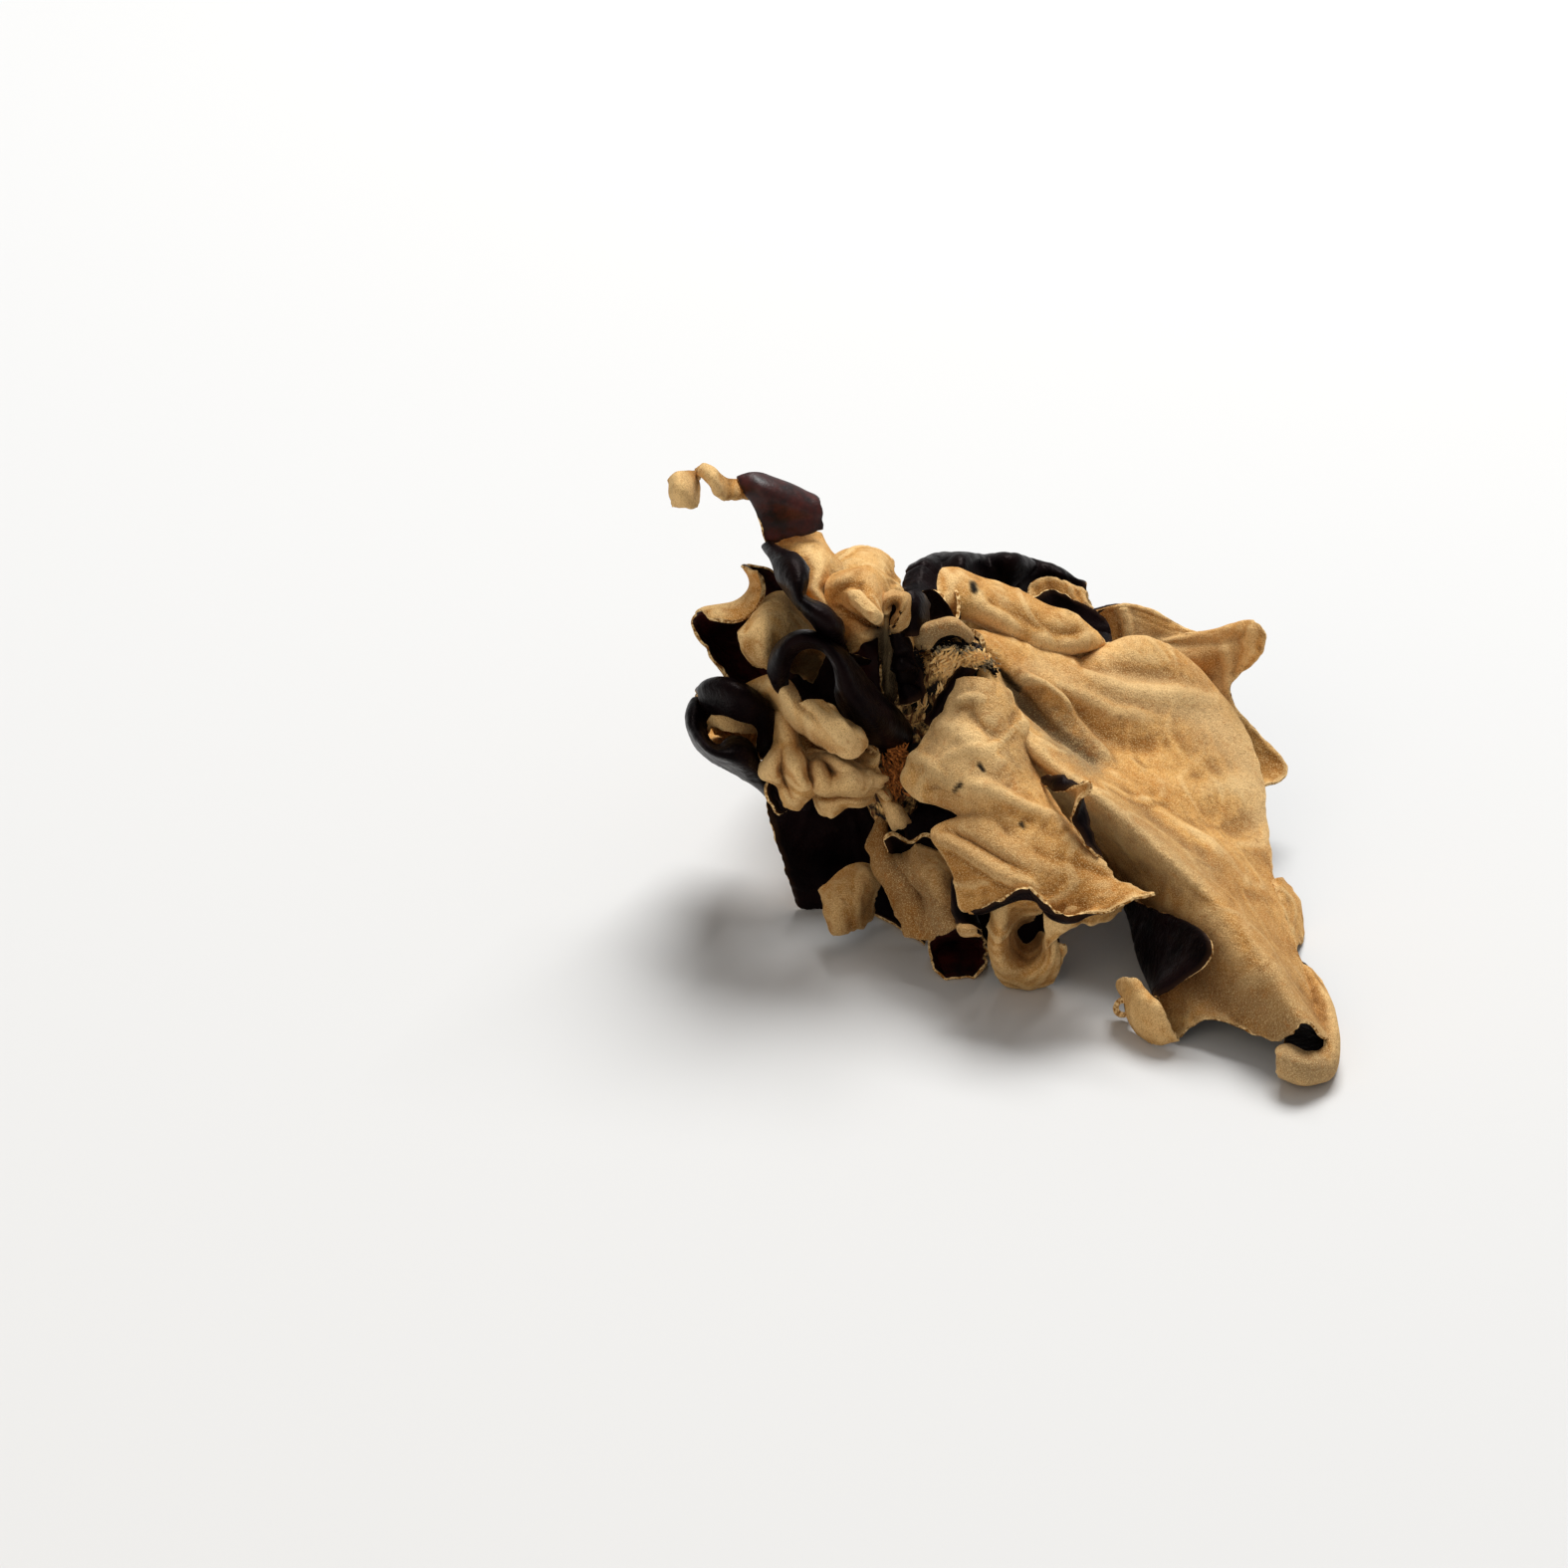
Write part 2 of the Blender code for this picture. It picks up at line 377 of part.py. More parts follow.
MAIN_EAR_TIP = [
    [(1281, 1051, -59), (1280, 1060, -62), (1281, 1072, -63), (1283, 1082, -62), (1286, 1078, -55),
     (1288, 1052, -46), (1284, 1016, -30)],
    [(1295, 1050, -59), (1294, 1061, -64), (1294, 1074, -65), (1295, 1085, -64), (1297, 1080, -56),
     (1299, 1050, -44), (1300, 1012, -27)],
    [(1309, 1057, -60), (1308, 1067, -65), (1309, 1078, -66), (1310, 1089, -65), (1311, 1082, -56),
     (1311, 1050, -43), (1312, 1012, -28)],
    [(1323, 1058, -59), (1324, 1067, -63), (1325, 1077, -64), (1326, 1086, -63), (1327, 1078, -55),
     (1325, 1048, -43), (1322, 1012, -31)],
    [(1330, 1051, -57), (1334, 1058, -59), (1337, 1067, -61), (1337, 1079, -61), (1338, 1070, -53),
     (1332, 1045, -43), (1326, 1018, -35)],
    [(1328, 1036, -51), (1334, 1038, -53), (1339, 1043, -55), (1342, 1055, -57), (1342, 1047, -51),
     (1336, 1032, -43), (1329, 1014, -36)],
    [(1321, 1014, -42), (1328, 1014, -44), (1334, 1015, -46), (1339, 1022, -48), (1338, 1016, -43),
     (1332, 1008, -37), (1324, 1000, -32)],
    [(1312, 992, -33), (1319, 990, -35), (1326, 992, -37), (1331, 998, -38), (1330, 994, -34),
     (1324, 988, -30), (1316, 983, -27)],
    [(1301, 966, -24), (1307, 968, -26), (1312, 971, -27), (1316, 976, -28), (1315, 973, -24),
     (1310, 968, -21), (1304, 964, -19)],
]

TUCKED_EAR = [
    [(957, 879, -21), (954, 893, -23), (953, 908, -24), (959, 928, -23)],
    [(964, 874, -20), (962, 893, -24), (963, 910, -25), (969, 931, -24)],
    [(976, 882, -16), (980, 899, -18), (982, 915, -20), (986, 934, -20)],
]

LOWER_LEFT_CUP = [
    [(935, 943, -13), (933, 956, -11), (938, 971, -16)],
    [(946, 933, -17), (948, 956, 0), (950, 983, -18)],
    [(962, 929, -18), (964, 956, 3), (966, 987, -18)],
    [(976, 932, -17), (981, 955, -1), (980, 981, -18)],
    [(985, 943, -14), (990, 955, -11), (988, 968, -16)],
]

MAIN_EAR_CORNER = [
    [(1125, 983, -32), (1129, 981, -36), (1137, 982, -38), (1145, 986, -37)],
    [(1123, 992, -32), (1128, 994, -37), (1141, 994, -41), (1158, 1001, -43)],
    [(1130, 1005, -34), (1133, 1008, -39), (1146, 1008, -44), (1167, 1011, -46)],
    [(1134, 1020, -37), (1139, 1023, -42), (1154, 1023, -46), (1174, 1024, -48)],
    [(1142, 1035, -40), (1150, 1039, -44), (1164, 1039, -47), (1181, 1037, -48)],
    [(1152, 1046, -42), (1160, 1049, -44), (1170, 1049, -46), (1185, 1043, -46)],
]

MAIN_EAR_EDGE = [
    [(1276, 888, 6), (1280, 904, 1), (1287, 924, -4), (1294, 944, -9), (1298, 960, -14)],
    [(1286, 882, 9), (1292, 898, 5), (1298, 917, 1), (1302, 935, -3), (1304, 950, -8)],
    [(1291, 887, 15), (1300, 900, 12), (1305, 916, 8), (1308, 933, 4), (1307, 950, -1)],
]

INNER_EAR = [
    [(902, 790, 21), (906, 825, 18), (914, 860, 13), (925, 890, 8), (936, 925, 2)],
    [(930, 790, 17), (938, 828, 13), (948, 868, 7), (958, 905, 1), (968, 938, -5)],
    [(960, 790, 13), (968, 830, 8), (976, 880, 1), (986, 920, -4), (996, 952, -8)],
    [(990, 790, 13), (1000, 830, 8), (1012, 880, 2), (1020, 925, -3), (1028, 955, -7)],
    [(1020, 800, 15), (1030, 840, 11), (1045, 885, 5), (1060, 925, -1), (1066, 950, -5)],
]

COLLAR_HOOD = [
    [(921, 652, 17), (918, 645, 15), (916, 638, 17), (922, 638, 25)],
    [(933, 652, 14), (928, 640, 11), (926, 629, 14), (932, 631, 26)],
    [(941, 642, 13), (940, 632, 10), (942, 623, 14), (944, 627, 27)],
    [(955, 636, 13), (956, 628, 10), (956, 621, 15), (956, 626, 28)],
    [(967, 639, 14), (968, 633, 12), (968, 628, 16), (964, 631, 28)],
    [(974, 647, 18), (976, 643, 17), (976, 638, 20), (970, 640, 29)],
]

COLLAR_RING = [
    [(893, 619, 10), (888, 619, 9), (882, 618, 14)],
    [(893, 610, 11), (889, 605, 9), (885, 598, 15)],
    [(897, 606, 12), (899, 599, 9), (902, 592, 16)],
    [(901, 609, 12), (908, 602, 8), (916, 596, 16)],
    [(900, 615, 11), (907, 612, 7), (917, 611, 14)],
    [(896, 621, 10), (902, 624, 7), (912, 630, 12)],
    [(892, 627, 10), (893, 632, 8), (896, 639, 13)],
]

COLLAR_CUP = [
    [(901, 600, 17), (903, 616, 15), (905, 640, 13)],
    [(912, 596, 16), (914, 612, 13), (914, 642, 11)],
    [(922, 595, 18), (923, 610, 14), (922, 640, 12)],
    [(930, 600, 20), (930, 612, 17), (928, 638, 15)],
    [(936, 608, 22), (935, 620, 19), (933, 640, 18)],
]

COLLAR_LOOP = [
    [(925, 594, 32), (928, 610, 31), (934, 628, 28)],
    [(937, 592, 31), (939, 608, 29), (943, 628, 27)],
    [(946, 598, 29), (948, 612, 28), (951, 630, 26)],
    [(953, 610, 28), (955, 620, 27), (957, 632, 26)],
    [(960, 622, 28), (961, 628, 28), (961, 634, 27)],
    [(963, 608, 31), (963, 618, 31), (962, 632, 29)],
    [(961, 595, 34), (962, 610, 34), (962, 630, 32)],
    [(954, 590, 37), (955, 606, 37), (958, 628, 35)],
    [(946, 593, 38), (949, 608, 38), (954, 626, 36)],
]

# The base: right, down and back as above, then the share of the base's radius
BASE_PATH = [
    ((958, 634, 28), 0.55),
    ((956, 650, 26), 0.95),
    ((950, 676, 22), 1.15),
    ((930, 716, 20), 1.0),
    ((902, 764, 12), 0.85),
    ((896, 792, 12), 0.8),
    ((894, 822, 16), 0.6),
]


def from_view(right, down, back):
    """The place, in metres, of a point drawn in the drawing view and set back by so much."""
    forward = Vector((0.0, math.cos(VIEW_PITCH), -math.sin(VIEW_PITCH)))
    upward = Vector((0.0, math.sin(VIEW_PITCH), math.cos(VIEW_PITCH)))
    eye = VIEW_AIM - VIEW_DISTANCE * forward
    across = (right - VIEW_MIDDLE) * VIEW_STEP
    rise = (VIEW_MIDDLE - down) * VIEW_STEP
    on_plane = VIEW_AIM + across * Vector((1.0, 0.0, 0.0)) + rise * upward
    reach = (back - eye.y) / (on_plane.y - eye.y)
    point = eye + reach * (on_plane - eye)
    return (point - FOOTPRINT_MIDDLE) * MM


def natural_curve(points, count):
    """Even steps along the natural cubic spline through the points."""
    last = len(points) - 1
    ratio = [0.0] * len(points)
    bend = [Vector((0.0, 0.0, 0.0)) for _ in points]
    for i in range(1, last):
        divisor = 4.0 - ratio[i - 1]
        turn = 6.0 * (points[i - 1] - 2.0 * points[i] + points[i + 1])
        ratio[i] = 1.0 / divisor
        bend[i] = (turn - bend[i - 1]) / divisor
    for i in range(last - 1, 0, -1):
        bend[i] = bend[i] - ratio[i] * bend[i + 1]
    places = []
    for step in range(count):
        along = last * step / (count - 1)
        i = min(int(along), last - 1)
        after = along - i
        before = 1.0 - after
        straight = before * points[i] + after * points[i + 1]
        bow = (before ** 3 - before) * bend[i] + (after ** 3 - after) * bend[i + 1]
        places.append(straight + bow / 6.0)
    return places


def sheet_places(ribs, along_count, across_count):
    """Rows of places on the sheet that the ribs carry, kept off the surface it rests on."""
    drawn = [[from_view(*point) for point in rib] for rib in ribs]
    smooth_ribs = [natural_curve(rib, along_count) for rib in drawn]
    columns = [natural_curve(list(station), across_count) for station in zip(*smooth_ribs)]
    lowest = 0.5 * EAR_THICKNESS * MM
    for column in columns:
        for place in column:
            place.z = max(place.z, lowest)
    return columns


def principled(name, colour, roughness):
    """A plain material of one colour."""
    material = bpy.data.materials.new(name)
    material.use_nodes = True
    shader = material.node_tree.nodes["Principled BSDF"]
    shader.inputs["Base Color"].default_value = (*colour, 1.0)
    shader.inputs["Roughness"].default_value = roughness
    shader.inputs["Metallic"].default_value = 0.0
    material.diffuse_color = (*colour, 1.0)
    return material


def new_object(name, mesh, collection, materials):
    """An object at the origin with its materials, in the collection."""
    thing = bpy.data.objects.new(name, mesh)
    collection.objects.link(thing)
    for material in materials:
        mesh.materials.append(material)
    return thing


def sheet_object(name, ribs, grid, thickness, collection, materials):
    """A bent sheet of even thickness: velvet on its first side, smooth on its second."""
    along, across = grid
    places = sheet_places(ribs, along + 1, across + 1)
    mesh = bpy.data.meshes.new(name)
    shape = bmesh.new()
    bmesh.ops.create_grid(shape, x_segments=along, y_segments=across, size=0.5)
    for vertex in shape.verts:
        column = round((vertex.co.x + 0.5) * along)
        row = round((vertex.co.y + 0.5) * across)
        vertex.co = places[column][row]
    shape.to_mesh(mesh)
    shape.free()
    thing = new_object(name, mesh, collection, materials)
    solidify = thing.modifiers.new("thickness", "SOLIDIFY")
    solidify.thickness = thickness * MM
    solidify.offset = 0.0
    solidify.use_quality_normals = True
    solidify.material_offset = min(1, len(materials) - 1)
    return thing


def applied_mesh(thing):
    """The object's mesh with its modifiers worked in."""
    graph = bpy.context.evaluated_depsgraph_get()
    return bpy.data.meshes.new_from_object(thing.evaluated_get(graph))


def apply_modifiers(thing):
    """Work the modifiers into the object's mesh."""
    mesh = applied_mesh(thing)
    thing.modifiers.clear()
    thing.data = mesh


def keep_largest_island(thing):
    """Drop the loose crumbs that a trim leaves."""
    shape = bmesh.new()
    shape.from_mesh(thing.data)
    left = set(shape.faces)
    islands = []
    while left:
        seed = left.pop()
        island = {seed}
        edge_of_island = [seed]
        while edge_of_island:
            face = edge_of_island.pop()
            for edge in face.edges:
                for neighbour in edge.link_faces:
                    if neighbour in left:
                        left.discard(neighbour)
                        island.add(neighbour)
                        edge_of_island.append(neighbour)
        islands.append(island)
    islands.sort(key=lambda faces: sum(face.calc_area() for face in faces))
    crumbs = [face for island in islands[:-1] for face in island]
    bmesh.ops.delete(shape, geom=crumbs, context="FACES")
    shape.to_mesh(thing.data)
    shape.free()


def boolean(thing, other, operation):
    """Cut the other shape from the object, or join it on."""
    modifier = thing.modifiers.new(operation.lower(), "BOOLEAN")
    modifier.operation = operation
    modifier.solver = "EXACT"
    modifier.object = other


def as_cutter(thing):
    """Keep a helper shape out of the picture."""
    thing.hide_render = True
    thing.display_type = "WIRE"


def boxes_meet(first, second):
    """Whether the boxes round two objects overlap."""
    corners = []
    for thing in (first, second):
        points = [vertex.co for vertex in applied_mesh(thing).vertices]
        low = [min(point[axis] for point in points) for axis in range(3)]
        high = [max(point[axis] for point in points) for axis in range(3)]
        corners.append((low, high))
    (low_a, high_a), (low_b, high_b) = corners
    return all(low_a[axis] < high_b[axis] and low_b[axis] < high_a[axis] for axis in range(3))


def surface_area(thing):
    """The area of a piece's whole surface."""
    return sum(face.area for face in applied_mesh(thing).polygons)


def surfaces_cross(first, second):
    """Whether the surfaces of two pieces cross anywhere."""
    graph = bpy.context.evaluated_depsgraph_get()
    first_tree = BVHTree.FromObject(first, graph)
    second_tree = BVHTree.FromObject(second, graph)
    return bool(first_tree.overlap(second_tree))


def build_base(parts, material):
    """The woody base that all the ears grow from: a lumpy, bent stub."""
    curve = bpy.data.curves.new("base", "CURVE")
    curve.dimensions = "3D"
    curve.bevel_depth = BASE_RADIUS * MM
    curve.bevel_resolution = 3
    curve.use_fill_caps = True
    curve.resolution_u = 3
    spline = curve.splines.new("NURBS")
    spline.points.add(len(BASE_PATH) - 1)
    for point, (drawn, share) in zip(spline.points, BASE_PATH):
        point.co = (*from_view(*drawn), 1.0)
        point.radius = share
    spline.use_endpoint_u = True
    spline.order_u = 4
    stub = bpy.data.objects.new("base_stub", curve)
    parts.objects.link(stub)
    bpy.context.view_layer.update()
    mesh = applied_mesh(stub)
    bpy.data.objects.remove(stub)
    shape = bmesh.new()
    shape.from_mesh(mesh)
    bmesh.ops.remove_doubles(shape, verts=shape.verts, dist=0.00001)
    shape.normal_update()
    for vertex in shape.verts:
        x, y, z = vertex.co / MM
        lump = math.sin(0.9 * x + 0.4 * z) * math.sin(0.8 * y - 0.5 * z) + math.sin(0.6 * z + 0.5 * x)
        vertex.co += vertex.normal * (0.5 * lump * BASE_LUMP_HEIGHT * MM)
    bmesh.ops.recalc_face_normals(shape, faces=shape.faces)
    mesh = bpy.data.meshes.new("base")
    shape.to_mesh(mesh)
    shape.free()
    return new_object("base", mesh, parts, [material])


def inflated_copy(thing, cutters, margin):
    """A copy of a solid pushed outwards all round."""
    shape = bmesh.new()
    shape.from_mesh(thing.data)
    shape.normal_update()
    for vertex in shape.verts:
        vertex.co += vertex.normal * (margin * MM)
    mesh = bpy.data.meshes.new(thing.name + "_round")
    shape.to_mesh(mesh)
    shape.free()
    copy = new_object(thing.name + "_round", mesh, cutters, [])
    as_cutter(copy)
    return copy


# Ears whose neighbours also keep clear of their rims, not only of their two sides
CLEAR_ROUND_RIM = ("hood_ear",)

# Name, sheets as (ribs, grid along and across, whether the velvet side faces away)
EARS = [
    ("main_ear", [(MAIN_EAR, (13, 17), False), (MAIN_EAR_TIP, (6, 8), False),
                  (MAIN_EAR_CORNER, (3, 5), True), (MAIN_EAR_EDGE, (4, 2), False)]),
    ("front_ear", [(FRONT_EAR, (13, 7), False)]),
    ("right_ear", [(RIGHT_EAR, (5, 13), False)]),
    ("upper_ear", [(UPPER_EAR, (8, 9), False)]),
    ("back_ear", [(BACK_EAR, (6, 9), False)]),
    ("hood_ear", [(HOOD_EAR, (4, 12), False)]),
    ("tall_ear", [(TALL_EAR_STEM, (12, 6), False), (TALL_EAR_FLAG, (5, 4), True),
                  (TALL_EAR_RIBBON, (2, 12), False)]),
    ("ruffle_ear", [(RUFFLE_LEAF, (5, 8), False), (RUFFLE_FOOT, (6, 5), False),
                    (RUFFLE_SKIRT, (7, 6), False)]),
    ("lower_left_ear", [(LOWER_LEFT_EAR, (9, 7), False), (LOWER_LEFT_CUP, (4, 5), True)]),
    ("pitcher_ear", [(PITCHER_EAR, (4, 11), False), (PITCHER_EAR_STRIP, (3, 4), False)]),
    ("mid_ear", [(MID_EAR, (7, 6), False)]),
    ("back_left_ear", [(BACK_LEFT_EAR, (6, 5), False)]),
    ("left_ear", [(LEFT_EAR, (8, 7), True)]),
    ("patch_ear", [(PATCH_EAR, (5, 5), False)]),
    ("round_ear", [(ROUND_EAR_SHELL, (4, 7), False), (ROUND_EAR_CUP, (5, 8), True),
                   (ROUND_EAR_TONGUE, (1, 5), False)]),
    ("blade_ear", [(BLADE_EAR, (11, 2), False)]),
    ("low_ear", [(LOW_EAR, (4, 5), False)]),
    ("under_ear", [(UNDER_EAR, (8, 4), True)]),
    ("inner_ear", [(INNER_EAR, (5, 4), True)]),
    ("tucked_ear", [(TUCKED_EAR, (4, 4), True)]),
    ("collar_hood", [(COLLAR_HOOD, (4, 5), True)]),
    ("collar_cup", [(COLLAR_RING, (2, 8), True), (COLLAR_CUP, (3, 5), True)]),
    ("collar_loop", [(COLLAR_LOOP, (2, 9), True)]),
]


def build_ear(name, sheets, parts, cutters, materials):
    """One ear, with a thicker copy of it that its neighbours are trimmed by."""
    ear = None
    round_shape = None
    for number, (ribs, grid, velvet_away) in enumerate(sheets):
        ordered = ribs[::-1] if velvet_away else ribs
        thick = EAR_THICKNESS + 2.0 * TRIM_GAP
        if ear is None:
            ear = sheet_object(name, ordered, grid, EAR_THICKNESS, parts, materials)
            round_shape = sheet_object(name + "_round", ordered, grid, thick, cutters, [])
        else:
            piece_name = f"{name}_sheet_{number}"
            piece = sheet_object(piece_name, ordered, grid, EAR_THICKNESS, cutters, materials)
            wide = sheet_object(piece_name + "_round", ordered, grid, thick, cutters, [])
            as_cutter(piece)
            as_cutter(wide)
            boolean(ear, piece, "UNION")
            boolean(round_shape, wide, "UNION")
    as_cutter(round_shape)
    return ear, round_shape


def main():
    for thing in list(bpy.data.objects):
        bpy.data.objects.remove(thing)
    parts = bpy.data.collections.new(COLLECTION_NAME)
    cutters = bpy.data.collections.new(CUTTER_COLLECTION_NAME)
    bpy.context.scene.collection.children.link(parts)
    bpy.context.scene.collection.children.link(cutters)
    velvet = principled("velvety side", (0.55, 0.36, 0.17), 0.95)
    smooth = principled("smooth dark side", (0.018, 0.010, 0.011), 0.42)
    wood = principled("torn woody base", (0.20, 0.12, 0.06), 0.9)

    base = build_base(parts, wood)
    finished = [(base, inflated_copy(base, cutters, TRIM_GAP))]
    for name, sheets in EARS:
        ear, round_shape = build_ear(name, sheets, parts, cutters, [velvet, smooth])
        bpy.context.view_layer.update()
        untrimmed = surface_area(ear)
        for neighbour, neighbour_round in finished:
            if boxes_meet(ear, neighbour_round):
                boolean(ear, neighbour_round, "DIFFERENCE")
        bpy.context.view_layer.update()
        apply_modifiers(ear)
        keep_largest_island(ear)
        for neighbour, _ in finished:
            bpy.context.view_layer.update()
            if surfaces_cross(ear, neighbour):
                boolean(ear, inflated_copy(neighbour, cutters, 0.5 * TRIM_GAP), "DIFFERENCE")
                apply_modifiers(ear)
                keep_largest_island(ear)
        bpy.context.view_layer.update()
        if surface_area(ear) < LEAST_LEFT * untrimmed:
            raise ValueError(f"the trims took too much of {name}")
        if name in CLEAR_ROUND_RIM:
            round_shape = inflated_copy(ear, cutters, TRIM_GAP)
        finished.append((ear, round_shape))


if __name__ == "__main__":
    main()
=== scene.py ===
"""Dried wood ear mushroom: one dried clump of thin ears, velvety tan on one side and near black on the other.

Every ear is a thin sheet laid over a few drawn ribs. It is then dimpled, puckered and worn at
its rim, as drying leaves it.
"""

import math

import bpy
import numpy as np
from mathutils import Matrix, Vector


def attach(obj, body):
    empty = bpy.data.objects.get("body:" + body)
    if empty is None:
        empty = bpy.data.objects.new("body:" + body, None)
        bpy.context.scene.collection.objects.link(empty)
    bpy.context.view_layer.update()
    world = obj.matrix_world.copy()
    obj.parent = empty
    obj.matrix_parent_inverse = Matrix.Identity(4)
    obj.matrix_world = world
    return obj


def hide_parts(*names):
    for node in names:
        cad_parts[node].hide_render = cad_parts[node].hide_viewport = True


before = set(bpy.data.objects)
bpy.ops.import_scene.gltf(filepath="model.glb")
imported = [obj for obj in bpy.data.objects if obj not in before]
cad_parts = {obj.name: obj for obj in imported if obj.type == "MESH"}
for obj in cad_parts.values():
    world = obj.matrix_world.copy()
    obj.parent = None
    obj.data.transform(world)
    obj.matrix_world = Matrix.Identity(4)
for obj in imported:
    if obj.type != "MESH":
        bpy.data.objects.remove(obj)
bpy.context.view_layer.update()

bl_info = {
    "name": "Dried wood ear mushroom",
    "version": (1, 0, 0),
    "blender": (4, 5, 0),
    "location": "3D View > Sidebar > Wood ear",
    "description": "Builds one dried wood ear clump with its finishes, a floor, lights and a camera",
    "category": "Object",
}

MM = 0.001

# The drawing view: the ribs are drawn as seen from here, looking level and then pitched down
VIEW_DISTANCE = 890.0
VIEW_PITCH = math.radians(28.3)
VIEW_AIM = np.array([-47.9, 0.0, 40.1])
VIEW_STEP = 0.22
VIEW_MIDDLE = 787.5

# The middle of the clump's footprint, measured from the base in millimetres
FOOTPRINT_MIDDLE = np.array([-1.5, 22.2, 0.0])

RIGHTWARD = np.array([1.0, 0.0, 0.0])
FORWARD = np.array([0.0, math.cos(VIEW_PITCH), -math.sin(VIEW_PITCH)])
UPWARD = np.array([0.0, math.sin(VIEW_PITCH), math.cos(VIEW_PITCH)])
EYE = VIEW_AIM - VIEW_DISTANCE * FORWARD

# Every rib below runs from the root of an ear to its rim. A point is three numbers: steps to
# the right and steps down in the drawing view, then millimetres back from the base's foot.

MAIN_EAR = [
    [(970, 696, 18), (992, 752, 18), (1036, 816, 13), (1081, 865, 6), (1148, 908, -16),
     (1219, 948, -43), (1164, 1000, -44)],
    [(974, 693, 17), (996, 748, 16), (1038, 813, 11), (1083, 862, 5), (1139, 907, -13),
     (1186, 947, -35), (1158, 1001, -42)],
    [(978, 690, 16), (1000, 745, 14), (1040, 810, 10), (1085, 860, 4), (1128, 905, -8),
     (1145, 955, -22), (1163, 1005, -36)],
    [(979, 686, 17), (1001, 740, 14), (1042, 805, 9), (1090, 862, 3), (1136, 912, -8),
     (1161, 966, -24), (1180, 1042, -43)],
    [(980, 682, 17), (1002, 735, 15), (1045, 800, 11), (1095, 862, 8), (1145, 915, -6),
     (1180, 975, -26), (1205, 1027, -44)],
    [(981, 677, 17), (1003, 729, 14), (1044, 791, 10), (1096, 850, 8), (1150, 911, -6),
     (1196, 980, -30), (1250, 1035, -50)],
    [(982, 672, 18), (1003, 722, 12), (1042, 780, 7), (1098, 834, 4), (1157, 900, -10),
     (1220, 978, -36), (1291, 1046, -57)],
    [(985, 664, 18), (1010, 714, 8), (1048, 762, -1), (1105, 806, -10), (1178, 870, -23),
     (1252, 942, -40), (1312, 1030, -61)],
    [(988, 658, 21), (1022, 705, 22), (1066, 754, 13), (1120, 798, 5), (1186, 852, -7),
     (1262, 930, -25), (1331, 1042, -52)],
    [(988, 652, 22), (1027, 692, 24), (1076, 738, 20), (1127, 775, 16), (1184, 815, 9),
     (1243, 865, 3), (1303, 955, -20)],
    [(986, 646, 23), (1030, 680, 25), (1080, 718, 26), (1130, 750, 24), (1180, 785, 20),
     (1232, 828, 18), (1279, 878, 12)],
    [(982, 640, 26), (1030, 666, 29), (1080, 686, 32), (1130, 700, 36), (1180, 715, 40),
     (1228, 745, 42), (1269, 792, 38)],
    [(975, 634, 30), (1025, 652, 36), (1070, 663, 42), (1110, 655, 48), (1150, 645, 54),
     (1200, 672, 57), (1245, 722, 54)],
    [(970, 638, 33), (1022, 656, 42), (1070, 668, 50), (1114, 662, 57), (1157, 656, 63),
     (1202, 682, 64), (1240, 730, 60)],
]

FRONT_EAR = [
    [(962, 684, 10), (940, 728, 6), (913, 768, 2), (918, 798, -4), (962, 819, -12),
     (937, 835, -14), (954, 868, -22), (963, 903, -27), (970, 911, -28)],
    [(972, 681, 7), (962, 722, 0), (945, 765, -6), (950, 798, -12), (978, 818, -17),
     (968, 838, -20), (975, 875, -26), (986, 914, -31), (990, 912, -34)],
    [(984, 682, 5), (988, 720, -3), (985, 765, -11), (990, 798, -17), (1000, 820, -21),
     (1005, 842, -25), (1018, 872, -31), (1032, 903, -35), (1036, 896, -39)],
    [(994, 686, 6), (1010, 722, 0), (1020, 768, -8), (1030, 798, -14), (1038, 820, -18),
     (1048, 845, -23), (1060, 878, -30), (1070, 917, -34), (1074, 917, -36)],
    [(1003, 691, 9), (1026, 728, 6), (1042, 776, 0), (1052, 798, -5), (1068, 820, -10),
     (1085, 845, -16), (1110, 868, -24), (1140, 888, -31), (1166, 900, -37)],
]

RIGHT_EAR = [
    [(966, 702, 28), (1088, 735, 48), (1200, 778, 46), (1270, 790, 40)],
    [(967, 699, 29), (1088, 722, 52), (1200, 745, 54), (1292, 766, 50)],
    [(968, 696, 30), (1086, 708, 56), (1190, 708, 60), (1240, 707, 58)],
    [(969, 693, 31), (1082, 698, 59), (1180, 686, 66), (1254, 672, 60)],
    [(970, 690, 31), (1078, 690, 61), (1170, 670, 68), (1274, 642, 58)],
    [(970, 687, 32), (1072, 684, 63), (1160, 658, 71), (1262, 624, 62)],
    [(970, 684, 32), (1067, 678, 64), (1145, 650, 73), (1238, 631, 68)],
    [(970, 680, 33), (1060, 672, 65), (1130, 646, 74), (1207, 636, 73)],
    [(969, 676, 33), (1054, 664, 66), (1115, 636, 75), (1170, 619, 77)],
    [(968, 672, 34), (1047, 654, 66), (1098, 624, 75), (1130, 606, 78)],
    [(966, 668, 34), (1040, 644, 64), (1072, 618, 72), (1096, 612, 74)],
    [(965, 660, 36), (1020, 602, 66), (1052, 579, 74), (1090, 594, 78)],
]

